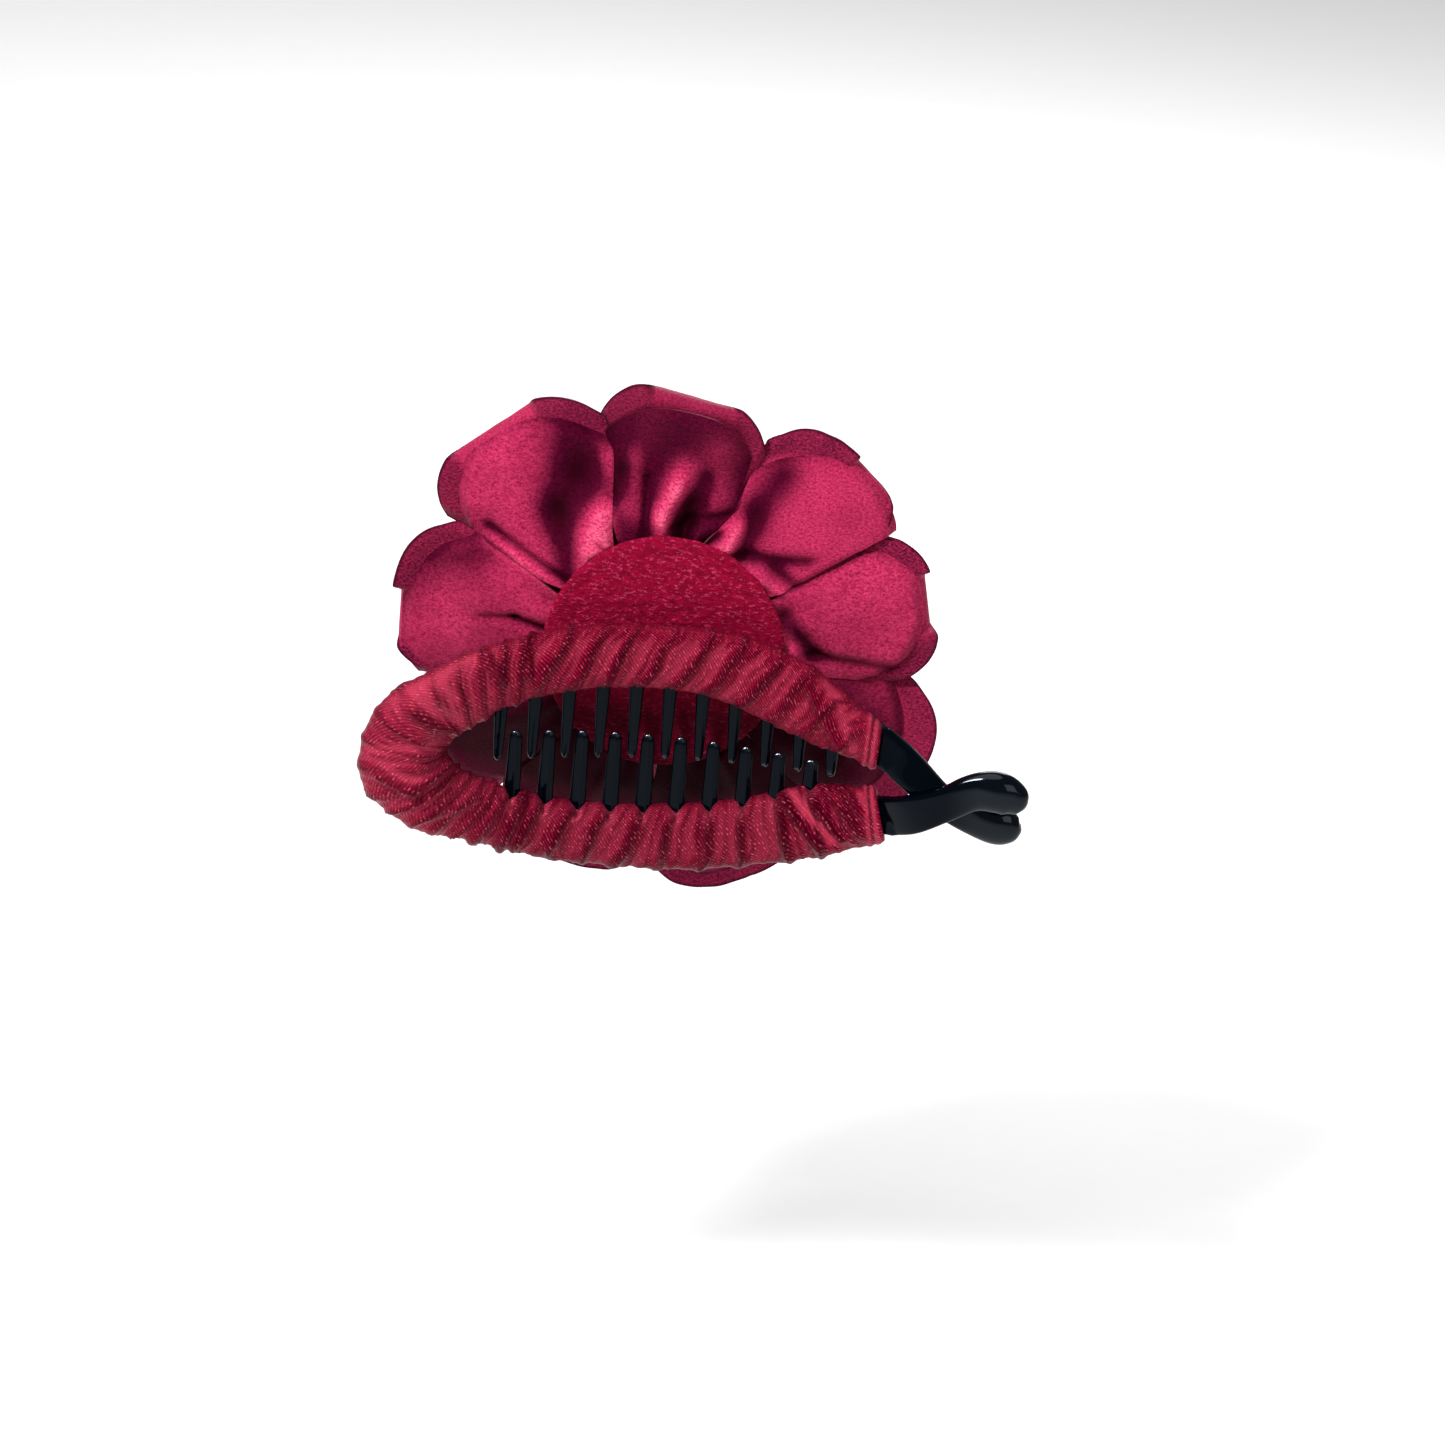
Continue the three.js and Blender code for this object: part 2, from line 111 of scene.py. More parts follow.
# Bars inside the sleeves: distance, height, half width, half depth.
SPINE = [
    (0.0, 0.0, 3.4, 2.6),
    (1.6, 4.6, 3.2, 2.3),
    (4.8, 8.6, 3.2, 1.6),
    (9.5, 11.8, 3.9, 1.5),
    (15.5, 14.4, 4.0, 1.5),
    (23.0, 16.6, 4.0, 1.5),
    (33.0, 18.1, 4.0, 1.5),
    (47.0, 18.7, 4.0, 1.5),
    (60.0, 17.6, 4.1, 1.5),
    (70.0, 14.8, 4.2, 1.5),
    (79.0, 11.7, 4.2, 1.5),
    (86.0, 9.2, 3.8, 1.3),
    (92.0, 7.2, 3.6, 1.2),
]
# Tails: distance, height, offset in Y, half width, half depth, squareness (1 is square-edged).
UPPER_TAIL = [
    (95.2, 4.9, 0.9, 3.6, 1.3, 1.0),
    (98.6, 2.2, 1.8, 3.5, 1.4, 1.0),
    (105.0, -2.4, 2.2, 3.0, 1.4, 0.8),
    (110.5, -5.0, 2.6, 3.5, 2.0, 0.3),
    (115.2, -6.2, 2.9, 4.2, 2.6, 0.0),
    (118.1, -6.5, 2.9, 3.6, 2.2, 0.0),
    (119.8, -6.4, 2.9, 2.0, 1.3, 0.0),
    (120.3, -6.3, 2.9, 0.3, 0.2, 0.0),
]
LOWER_TAIL = [
    (95.2, -6.6, -0.8, 3.9, 1.2, 1.0),
    (98.8, -4.8, -1.8, 3.9, 1.4, 1.0),
    (104.7, -1.4, -2.2, 3.4, 1.4, 0.8),
    (109.9, 1.7, -2.7, 3.7, 2.0, 0.3),
    (114.4, 2.5, -3.1, 4.2, 2.6, 0.0),
    (117.8, 1.3, -3.1, 3.7, 2.2, 0.0),
    (119.7, -0.1, -3.1, 2.1, 1.3, 0.0),
    (120.3, -0.6, -3.1, 0.3, 0.2, 0.0),
]
UPPER_TEETH = {"count": 11, "first": 18.1, "pitch": 6.46, "root": 3.1, "tip": 1.75, "depth": 2.2}
LOWER_TEETH = {"count": 10, "first": 21.3, "pitch": 6.4, "root": 3.4, "tip": 2.6, "depth": 2.2}

# The nine back lobes: direction of the gap where each starts, in degrees from +X towards +Z, reach of
# its outer petal, reach of its back petal, how much longer its far side is, the share of its width
# between which the outer petal's rim rolls away (from -1 at the near side to 1 at the far side), and
# how much painted shade darkens its satin.
LOBES = [
    (30.9, 53.9, 51.6, -0.015, -0.66, -0.02, 0.0),
    (67.5, 52.6, 48.4, 0.05, -0.5, 0.42, 0.9),
    (109.1, 56.2, 53.0, 0.02, -0.4, 0.46, 0.05),
    (154.5, 54.2, 51.6, 0.0, 0.0, 0.6, 0.08),
    (193.8, 53.4, 50.4, 0.0, -0.5, 0.5, 0.2),
    (228.0, 50.8, 48.4, 0.0, 0.0, 0.0, 0.5),
    (270.0, 52.2, 49.4, -0.03, 0.0, 0.0, 0.5),
    (316.0, 57.4, 51.0, 0.0, 0.0, 0.0, 0.5),
    (353.4, 53.8, 50.8, 0.01, -0.3, 0.36, 0.0),
]

# How far, as a share of its reach, each lobe's back petal falls short of the ears behind it.
EAR_DEPTHS = [0.13, 0.13, 0.19, 0.1, 0.13, 0.13, 0.13, 0.13, 0.19]
# Near the disc two gaps swing round: where in degrees, by how many, over what width, and the radius
# from which they no longer do.
SWUNG_GAPS = [
    (109.1, 9.5, 15, 42),
    (61.0, 12.0, 14, 31),
]

# Folds of the gathered petal roots, from the flower's centre in X and Z: the two ends of each, its
# half width, how far it stands up (or sinks, below zero), and how much painted shade darkens it (or,
# below zero, how much a painted highlight lightens it). The last is a painted shadow on the petals
# behind the clip's opening.
PETAL_FOLDS = [
    ((-20.5, 39.5), (-19.0, 33.0), 6.8, -1.0, 0.85),
    ((-19.5, 32.0), (-22.8, 25.0), 4.8, -1.2, 0.6),
    ((-22.8, 25.0), (-19.4, 14.5), 3.0, -1.2, 0.85),
    ((-35.5, 20.3), (-20.1, 12.0), 1.1, -1.3, 0.75),
    ((-14.0, 24.5), (-15.2, 16.5), 2.7, 2.2, -1.5),
    ((-14.4, 20.5), (-11.8, 18.5), 0.8, -0.8, 0.9),
    ((-11.2, 34.0), (-11.4, 30.0), 1.6, -0.6, 0.7),
    ((-34.5, 17.5), (-21.3, 11.0), 1.7, 1.0, -0.5),
    ((-51.6, 6.6), (-40.5, 12.0), 4.5, -0.6, 0.45),
    ((-46.0, 13.0), (-36.0, 15.5), 2.5, -0.2, 0.3),
    ((-45.5, 17.5), (-37.0, 19.5), 3.6, 0.0, 0.35),
    ((-36.1, 3.2), (-29.3, 3.6), 0.7, -0.7, 0.5),
    ((-29.3, 3.6), (-23.3, 1.8), 0.9, -1.0, 0.8),
    ((-1.8, 20.5), (-2.4, 27.0), 1.5, 2.4, -1.1),
    ((-2.4, 27.0), (0.0, 32.0), 1.7, 2.2, -1.1),
    ((0.0, 32.0), (1.2, 35.0), 2.5, 1.4, -0.8),
    ((-8.4, 37.0), (-7.6, 27.0), 1.9, 0.6, -0.5),
    ((-5.4, 22.0), (-5.6, 33.0), 1.0, -1.0, 0.4),
    ((2.0, 23.0), (3.2, 28.5), 1.8, -1.8, 0.8),
    ((-13.6, 36.2), (-10.0, 28.0), 1.6, 0.8, -0.5),
    ((7.8, 39.0), (8.8, 31.0), 3.6, 1.4, -0.4),
    ((5.2, 30.0), (5.8, 34.0), 1.5, -0.9, 0.4),
    ((-1.5, 24.2), (10.3, 27.6), 1.3, -1.6, 0.3),
    ((20.3, 35.2), (15.6, 27.4), 4.2, -1.4, 0.85),
    ((15.6, 27.4), (14.2, 22.0), 2.2, -1.0, 0.7),
    ((12.0, 19.9), (26.4, 19.3), 1.5, -1.5, 0.85),
    ((9.3, 19.5), (12.6, 25.0), 1.7, 2.2, -1.2),
    ((4.5, 20.2), (8.8, 23.4), 1.2, -1.0, 1.2),
    ((20.5, 17.8), (23.0, 15.8), 1.4, -1.0, 0.8),
    ((15.8, 16.2), (22.3, 13.5), 1.1, 1.2, -0.4),
    ((22.7, 8.1), (29.0, 0.9), 2.0, -1.6, 0.85),
    ((29.0, 0.7), (43.0, -1.8), 1.2, -1.2, 0.7),
    ((22.4, 4.4), (25.5, 1.6), 1.1, 1.2, -0.5),
    ((24.5, 14.3), (36.0, 20.5), 0.9, -0.9, 0.6),
    ((-24.0, -6.0), (-34.0, -10.0), 2.6, 1.8, -0.4),
    ((-19.0, -14.0), (-27.0, -22.0), 2.8, -1.2, 0.6),
    ((-9.0, -23.0), (-14.0, -35.0), 2.8, 2.0, -0.4),
    ((4.0, -24.0), (3.0, -36.0), 2.6, -1.2, 0.6),
    ((13.0, -21.0), (20.0, -31.0), 2.8, 2.0, -0.4),
    ((22.0, -12.0), (32.0, -18.0), 2.6, -1.2, 0.6),
    ((-33.0, -22.0), (26.0, -22.0), 11.0, 0.0, 1.7),
]

# ---- Number tools ----
def smooth(x, low, high):
    """0 at low and before, 1 at high and past it, eased between. low may be the larger one."""
    t = np.clip((x - low) / (high - low), 0, 1)
    return t * t * (3 - 2 * t)


def bell(x, centre, width):
    """A bump of height 1 at centre that fades over width."""
    return np.exp(-(((x - centre) / width) ** 2))


def lattice(ix, iy, seed):
    """A repeatable number from -1 to 1 for each lattice point and seed."""
    h = (ix * 374761393 + iy * 668265263 + seed * 982451653) & 0xFFFFFFFF
    h = ((h ^ (h >> 13)) * 1274126177) & 0xFFFFFFFF
    return ((h ^ (h >> 16)) & 0xFFFF) / 32767.5 - 1


def noise(x, y=0.0, seed=0):
    """Smooth value noise from -1 to 1 over a unit lattice."""
    x, y = np.broadcast_arrays(np.asarray(x, float), np.asarray(y, float))
    ix = np.floor(x).astype(np.int64)
    iy = np.floor(y).astype(np.int64)
    fx = x - ix
    fy = y - iy
    fx = fx * fx * (3 - 2 * fx)
    fy = fy * fy * (3 - 2 * fy)
    low = lattice(ix, iy, seed) * (1 - fx) + lattice(ix + 1, iy, seed) * fx
    high = lattice(ix, iy + 1, seed) * (1 - fx) + lattice(ix + 1, iy + 1, seed) * fx
    return low * (1 - fy) + high * fy


def line_through(rows, share):
    """A Catmull-Rom line through rows of numbers, at shares from 0 to 1 of its count of rows."""
    rows = np.asarray(rows, float)
    share = np.asarray(share, float)
    last = len(rows) - 1
    along = np.clip(share, 0, 1) * last
    i = np.minimum(np.floor(along).astype(int), last - 1)
    t = (along - i)[..., None]
    before = rows[np.maximum(i - 1, 0)]
    here = rows[i]
    after = rows[i + 1]
    beyond = rows[np.minimum(i + 2, last)]
    inward = (after - before) / 2
    outward = (beyond - here) / 2
    bend = 3 * (after - here) - 2 * inward - outward
    twist = 2 * (here - after) + inward + outward
    return here + inward * t + bend * t**2 + twist * t**3


def arch_y(distance):
    """Y of the arms' middle surface at a distance from the pin."""
    distance = np.asarray(distance, float)
    share = (distance - HINGE_TO_MIDDLE) / HINGE_TO_MIDDLE
    curve = np.maximum(-ARCH * share**2, -ARCH - 1)
    off_pin = smooth(distance, *PIN_FLAT)
    near_pads = smooth(distance, *PADS_FLAT)
    start = HINGE_Y * (1 - off_pin) + curve * off_pin
    return start * (1 - near_pads) + PADS_Y * near_pads


def grid_normals(points, wrap=False):
    """Unit normals of a grid of points (rows, columns, 3). wrap closes the columns."""
    down = np.gradient(points, axis=0)
    if wrap:
        across = (np.roll(points, -1, axis=1) - np.roll(points, 1, axis=1)) / 2
    else:
        across = np.gradient(points, axis=1)
    normal = np.cross(across, down)
    length = np.linalg.norm(normal, axis=2, keepdims=True)
    return normal / np.maximum(length, 1e-9)


def fold_heights(folds, x, z):
    """Height and painted shade of a list of folds at places in X and Z, with rounded ends; below zero
    the shade is a painted highlight.
    """
    height = np.zeros(np.shape(x))
    painted_dark = np.zeros(np.shape(x))
    for (x0, z0), (x1, z1), width, rise, shade in folds:
        length = math.hypot(x1 - x0, z1 - z0)
        dx = (x1 - x0) / length
        dz = (z1 - z0) / length
        along = (x - x0) * dx + (z - z0) * dz
        beyond = along - np.clip(along, 0, length)
        aside = (x - x0) * dz - (z - z0) * dx
        distance = np.hypot(beyond * 0.75, aside) / width
        share = np.exp(-(distance**2))
        height += rise * share
        painted_dark += shade * share
    return height, painted_dark


# ---- Mesh tools ----
def quads_of(rows, columns, start=0, wrap=False):
    """Quads of a grid in the order that faces along cross(across, down)."""
    i = np.arange(rows - 1)[:, None]
    j = np.arange(columns if wrap else columns - 1)[None, :]
    k = (j + 1) % columns
    a = i * columns + j
    b = i * columns + k
    c = (i + 1) * columns + k
    d = (i + 1) * columns + j
    return np.stack([a, b, c, d], axis=-1).reshape(-1, 4) + start


def sharpen(mesh, marked):
    """Marks as sharp every edge between a marked face and an unmarked one."""
    loop_edges = np.zeros(len(mesh.loops), np.int32)
    mesh.loops.foreach_get("edge_index", loop_edges)
    totals = np.zeros(len(mesh.polygons), np.int32)
    mesh.polygons.foreach_get("loop_total", totals)
    of_face = np.repeat(np.asarray(marked, bool), totals)
    in_marked = np.bincount(loop_edges[of_face], minlength=len(mesh.edges)) > 0
    in_plain = np.bincount(loop_edges[~of_face], minlength=len(mesh.edges)) > 0
    sharp = mesh.attributes.new("sharp_edge", "BOOLEAN", "EDGE")
    sharp.data.foreach_set("value", in_marked & in_plain)


def add_object(name, data):
    """A new object in the scene."""
    thing = bpy.data.objects.new(name, data)
    bpy.context.scene.collection.objects.link(thing)
    return thing


def make_piece(name, vertices, faces, materials, indices=None, values=None, sharp_faces=None):
    """A smooth-shaded mesh from millimetre vertices, with per-vertex values as attributes."""
    mesh = bpy.data.meshes.new(name)
    mesh.from_pydata((np.asarray(vertices) * MM).tolist(), [], [list(map(int, f)) for f in faces])
    for material in materials:
        mesh.materials.append(material)
    if indices is not None:
        mesh.polygons.foreach_set("material_index", np.asarray(indices, np.int32))
    for key, value in (values or {}).items():
        value = np.asarray(value, np.float32)
        if value.ndim == 2:
            mesh.attributes.new(key, "FLOAT_VECTOR", "POINT").data.foreach_set("vector", value.ravel())
        else:
            mesh.attributes.new(key, "FLOAT", "POINT").data.foreach_set("value", value)
    mesh.polygons.foreach_set("use_smooth", np.ones(len(mesh.polygons), bool))
    mesh.update()
    if sharp_faces is not None:
        sharpen(mesh, sharp_faces)
    piece = add_object(name, mesh)
    return piece


def both_sides(value):
    """A value of a grid's points, repeated for the second side of its sheet."""
    return np.concatenate([value.reshape(-1, *value.shape[2:])] * 2)


def double_sheet(points, thickness, wrap=False, normals=None):
    """Vertices, faces and face kinds (0 first side, 1 second side, 2 rim) of a closed sheet."""
    rows, columns = points.shape[:2]
    if normals is None:
        normals = grid_normals(points, wrap)
    first = points + normals * thickness / 2
    second = points - normals * thickness / 2
    vertices = np.concatenate([first.reshape(-1, 3), second.reshape(-1, 3)])
    count = rows * columns
    front = quads_of(rows, columns, 0, wrap)
    back = quads_of(rows, columns, count, wrap)[:, ::-1]
    rims = []
    j = np.arange(columns if wrap else columns - 1)
    k = (j + 1) % columns
    end = (rows - 1) * columns
    rims.append(np.stack([k, j, j + count, k + count], axis=-1))
    rims.append(np.stack([end + j, end + k, end + k + count, end + j + count], axis=-1))
    if not wrap:
        i = np.arange(rows - 1)
        a = i * columns
        b = (i + 1) * columns
        rims.append(np.stack([a, b, b + count, a + count], axis=-1))
        a = a + columns - 1
        b = b + columns - 1
        rims.append(np.stack([b, a, a + count, b + count], axis=-1))
    rim = np.concatenate(rims)
    faces = np.concatenate([front, back, rim])
    kinds = np.concatenate([np.zeros(len(front)), np.ones(len(back)), np.full(len(rim), 2)])
    return vertices, faces, kinds.astype(int)


# ---- Materials ----
def linear(r, g, b):
    """The linear colour of 0 to 255 sRGB values."""
    shares = [value / 255 for value in (r, g, b)]
    return tuple(((s + 0.055) / 1.055) ** 2.4 if s > 0.04 else s / 12.92 for s in shares) + (1.0,)


# Sockets of the Mix node when it mixes colours.
MIX_FACTOR = 0
MIX_FIRST = 6
MIX_SECOND = 7
MIX_RESULT = 2


class Nodes:
    """Short calls for building a material's node tree."""

    def __init__(self, name):
        self.material = bpy.data.materials.new(name)
        self.material.use_nodes = True
        self.tree = self.material.node_tree
        self.shader = self.tree.nodes["Principled BSDF"]

    def add(self, kind, **settings):
        node = self.tree.nodes.new(kind)
        for key, value in settings.items():
            setattr(node, key, value)
        return node

    def link(self, source, target):
        self.tree.links.new(source, target)

    def feed(self, socket, value):
        """Sets a socket to a number or colour, or links an output to it."""
        if isinstance(value, (int, float, tuple)):
            socket.default_value = value
        else:
            self.link(value, socket)

    def attribute(self, name, output="Vector"):
        return self.add("ShaderNodeAttribute", attribute_name=name).outputs[output]

    def object_position(self):
        return self.add("ShaderNodeTexCoord").outputs["Object"]

    def scaled(self, vector, scale):
        node = self.add("ShaderNodeMapping")
        node.inputs["Scale"].default_value = scale
        self.link(vector, node.inputs["Vector"])
        return node.outputs["Vector"]

    def noise(self, vector, scale, detail, roughness=0.55):
        node = self.add("ShaderNodeTexNoise")
        node.inputs["Scale"].default_value = scale
        node.inputs["Detail"].default_value = detail
        node.inputs["Roughness"].default_value = roughness
        self.link(vector, node.inputs["Vector"])
        return node.outputs["Fac"]

    def times(self, first, second):
        return self.math("MULTIPLY", first, second)

    def math(self, operation, first, second):
        node = self.add("ShaderNodeMath", operation=operation)
        self.feed(node.inputs[0], first)
        self.feed(node.inputs[1], second)
        return node.outputs["Value"]

    def range(self, value, low, high, to_low=0.0, to_high=1.0):
        node = self.add("ShaderNodeMapRange", clamp=True)
        node.inputs["From Min"].default_value = low
        node.inputs["From Max"].default_value = high
        node.inputs["To Min"].default_value = to_low
        node.inputs["To Max"].default_value = to_high
        self.link(value, node.inputs["Value"])
        return node.outputs["Result"]

    def mix(self, factor, first, second):
        node = self.add("ShaderNodeMix", data_type="RGBA")
        for socket, value in ((MIX_FACTOR, factor), (MIX_FIRST, first), (MIX_SECOND, second)):
            self.feed(node.inputs[socket], value)
        return node.outputs[MIX_RESULT]

    def bump(self, height, strength, distance):
        node = self.add("ShaderNodeBump")
        node.inputs["Strength"].default_value = strength
        node.inputs["Distance"].default_value = distance * MM
        self.link(height, node.inputs["Height"])
        return node.outputs["Normal"]

    def set(self, **values):
        for key, value in values.items():
            self.feed(self.shader.inputs[key.replace("_", " ")], value)


def satin_material(name, low, high, roughness):
    """Petal satin: a fine crepe grain, broad painted light and shade, darker speckled ears, dark sealed
    edges.

    The painted shading attribute paints a highlight below 0, shade up to 1, and past that a painted
    shadow that goes on towards black.
    """
    n = Nodes(name)
    cloth = n.attribute("cloth")
    grain = n.noise(n.scaled(cloth, (1.0, 1.5, 1.0)), 1.6, 3.0, 0.75)
    fine = n.noise(n.scaled(cloth, (1.0, 1.4, 1.0)), 3.6, 2.0, 0.7)
    cloud = n.noise(cloth, 0.11, 3.0, 0.5)
    speckle = n.math("ADD", n.times(grain, 0.75), n.times(fine, 0.35))
    share = n.range(speckle, 0.42, 0.67)
    bright = n.mix(share, linear(*low), linear(*high))
    clouded = n.mix(n.range(cloud, 0.35, 0.7, 0.0, 0.3), bright, linear(*low))
    # Painted shade: the satin where the shading attribute darkens it.
    painted_dark = n.mix(share, linear(32, 0, 14), linear(84, 6, 40))
    painted_shading = n.attribute("painted_shading", "Fac")
    shaded = n.mix(n.range(painted_shading, 0.0, 1.0), clouded, painted_dark)
    # Painted highlight: lighter satin where the shading goes below 0.
    light = n.mix(share, linear(186, 34, 80), linear(255, 112, 150))
    shaded = n.mix(n.range(painted_shading, -0.9, 0.0, 0.8, 0.0), shaded, light)
    # Painted shadow, on towards black, past 1.
    shaded = n.mix(n.range(painted_shading, 1.05, 1.7, 0.0, 0.95), shaded, linear(8, 0, 2))
    ear = n.mix(n.range(speckle, 0.47, 0.64), linear(58, 3, 26), linear(150, 36, 76))
    eared = n.mix(n.attribute("ear", "Fac"), shaded, ear)
    edge = n.range(n.attribute("edge", "Fac"), 0.2, 0.75, 0.95, 0.0)
    final = n.mix(edge, eared, linear(60, 6, 28))
    bumped = n.bump(speckle, 0.7, 0.3)
    rough = n.range(fine, 0.3, 0.7, roughness - 0.08, roughness + 0.1)
    n.set(Base_Color=final, Roughness=rough, Normal=bumped)
    n.set(Specular_IOR_Level=0.3, Specular_Tint=linear(255, 60, 120))
    n.set(Sheen_Weight=0.05, Sheen_Roughness=0.35, Sheen_Tint=linear(255, 80, 130))
    return n.material


def rim_material():
    """The heat-sealed cut edge of the petals."""
    n = Nodes("petal_rim")
    cloth = n.attribute("cloth")
    grain = n.noise(cloth, 3.0, 2.0)
    n.set(Base_Color=n.mix(grain, linear(70, 6, 28), linear(120, 30, 60)), Roughness=0.5)
    return n.material


def ribbon_material():
    """Ribbon satin: a fine diagonal twill, with painted glints on its threads, painted highlights, and
    painted shade in the creases.
    """
    n = Nodes("sleeve_ribbon")
    cloth = n.attribute("cloth")
    wobble = n.noise(cloth, 0.5, 2.0)
    turned = n.add("ShaderNodeVectorRotate", rotation_type="Z_AXIS")
    turned.inputs["Angle"].default_value = 0.9
    n.link(cloth, turned.inputs["Vector"])
    wave = n.add("ShaderNodeTexWave", wave_type="BANDS", bands_direction="X", wave_profile="SIN")
    wave.inputs["Scale"].default_value = 0.52
    wave.inputs["Distortion"].default_value = 1.6
    wave.inputs["Detail"].default_value = 2.0
    wave.inputs["Detail Scale"].default_value = 1.2
    n.link(turned.outputs["Vector"], wave.inputs["Vector"])
    thread = wave.outputs["Fac"]
    glint = n.noise(cloth, 1.5, 2.0, 0.7)
    # Painted glints: specks on the threads mixed in lighter, stronger where there is painted highlight.
    spark = n.times(n.range(glint, 0.55, 0.63), n.range(thread, 0.4, 0.8))
    base = n.mix(n.range(thread, 0.15, 0.85), linear(34, 0, 8), linear(140, 6, 48))
    clouded = n.mix(n.range(wobble, 0.3, 0.7, 0.0, 0.5), base, linear(120, 12, 40))
    # Painted highlight.
    highlighted = n.mix(n.times(n.attribute("painted_highlight", "Fac"), 0.7), clouded, linear(222, 74, 104))
    # Painted shade in the creases.
    shaded = n.mix(n.times(n.attribute("painted_shade", "Fac"), 0.8), highlighted, linear(44, 0, 14))
    sparkle = n.times(spark, n.range(n.attribute("painted_highlight", "Fac"), 0.0, 1.0, 0.5, 0.95))
    final = n.mix(sparkle, shaded, linear(226, 96, 118))
    weave = n.math("ADD", n.times(thread, 0.6), n.times(glint, 0.6))
    bumped = n.bump(weave, 0.5, 0.14)
    n.set(Base_Color=final, Roughness=n.range(spark, 0.0, 1.0, 0.4, 0.2), Normal=bumped)
    n.set(Specular_IOR_Level=0.3, Specular_Tint=linear(255, 60, 90))
    return n.material


def velvet_material():
    """Velvet with a short pile that lies along X."""
    n = Nodes("disc_velvet")
    place = n.object_position()
    fibre = n.noise(n.scaled(place, (1100.0, 900.0, 2300.0)), 1.0, 2.0, 0.75)
    tuft = n.noise(n.scaled(place, (700.0, 900.0, 1600.0)), 1.0, 2.0, 0.6)
    patch = n.noise(n.scaled(place, (90.0, 90.0, 110.0)), 1.0, 2.0, 0.5)
    base = n.mix(n.range(tuft, 0.3, 0.7), linear(116, 0, 34), linear(158, 2, 50))
    worn = n.mix(n.range(patch, 0.4, 0.75, 0.0, 0.4), base, linear(124, 0, 38))
    # Painted highlights on the pile's fibres.
    lit = n.mix(n.range(fibre, 0.56, 0.68, 0.0, 0.75), worn, linear(206, 66, 108))
    # Painted shade on the disc's lower part.
    final = n.mix(n.times(n.attribute("shade", "Fac"), 0.6), lit, linear(40, 0, 12))
    bumped = n.bump(n.math("ADD", fibre, n.times(tuft, 0.6)), 0.8, 0.5)
    n.set(Base_Color=final, Roughness=0.95, Normal=bumped, Specular_IOR_Level=0.1)
    n.set(Sheen_Weight=0.15, Sheen_Roughness=0.3, Sheen_Tint=linear(255, 60, 120))
    return n.material


def plastic_material():
    """Glossy near-black plastic with a navy cast, faint flow marks and fine scuffs."""
    n = Nodes("black_plastic")
    place = n.object_position()
    flow = n.noise(n.scaled(place, (60.0, 60.0, 60.0)), 1.0, 2.0)
    scuff = n.noise(n.scaled(place, (900.0, 700.0, 260.0)), 1.0, 3.0, 0.7)
    colour = n.mix(flow, linear(0, 2, 6), linear(2, 6, 14))
    bumped = n.bump(flow, 0.12, 0.3)
    polish = n.attribute("polish", "Fac")
    rough = n.math("ADD", n.range(scuff, 0.45, 0.75, 0.05, 0.11), n.times(polish, 0.14))
    n.set(Base_Color=colour, Roughness=rough, Normal=bumped)
    n.set(Specular_IOR_Level=n.range(polish, 0.0, 1.0, 0.09, 1.0), Specular_Tint=(0.75, 0.87, 1.0, 1.0))
    return n.material


def steel_material():
    """Steel with fine turning marks across the pin."""
    n = Nodes("pin_steel")
    place = n.object_position()
    turning = n.noise(n.scaled(place, (300.0, 4000.0, 300.0)), 1.0, 2.0)
    n.set(Base_Color=n.mix(turning, linear(150, 152, 156), linear(190, 192, 196)))
    n.set(Roughness=n.range(turning, 0.3, 0.7, 0.25, 0.42), Metallic=1.0)
    return n.material


def glue_material():
    """Clear glue, which takes the crimson of the cloth it has soaked into."""
    n = Nodes("clear_glue")
    place = n.object_position()
    cloud = n.noise(n.scaled(place, (260.0, 260.0, 260.0)), 1.0, 2.0)
    n.set(Base_Color=n.mix(cloud, linear(84, 8, 26), linear(122, 30, 48)), Roughness=0.28)
    n.set(Normal=n.bump(cloud, 0.5, 0.4))
    return n.material


SATIN_BACK = satin_material("petal_satin_back", (146, 15, 60), (228, 66, 114), 0.6)
SATIN_OUTER = satin_material("petal_satin_outer", (148, 18, 60), (222, 66, 110), 0.55)
SATIN_FRONT = satin_material("petal_satin_front", (138, 12, 52), (190, 34, 84), 0.32)
RIM = rim_material()
RIBBON = ribbon_material()
VELVET = velvet_material()
PLASTIC = plastic_material()
STEEL = steel_material()
GLUE = glue_material()

# ---- Camera, light and floor ----
# The lens and sensor are in millimetres, the camera's distance in metres.
VIEW_ELEVATION = math.radians(20)
VIEW_ROLL = math.radians(4.63)
TARGET = Vector((8.03, 0.0, 6.28)) * MM
VIEW_LENS = 200
VIEW_SENSOR = 36
VIEW_DISTANCE = 1.56
# Area lights: place and side in metres, power in watts.
AREA_LIGHTS = [
    ("key", (-0.36, -0.46, 0.6), 0.13, 5.4),
    ("fill", (0.55, -0.7, 0.3), 0.4, 1.0),
    ("front_fill", (0.1, 0.8, 0.5), 0.5, 5.0),
]
SUN_STRENGTH = 1.25
SUN_SPREAD = math.radians(50)
SUN_TILT = (math.radians(12), math.radians(-10), 0)
# The white world lights the clip weakly but is seen brighter, so that it meets the floor's white.
WORLD_LIGHT = 0.22
WORLD_SEEN = 0.57
FLOOR_REACH = 3.0

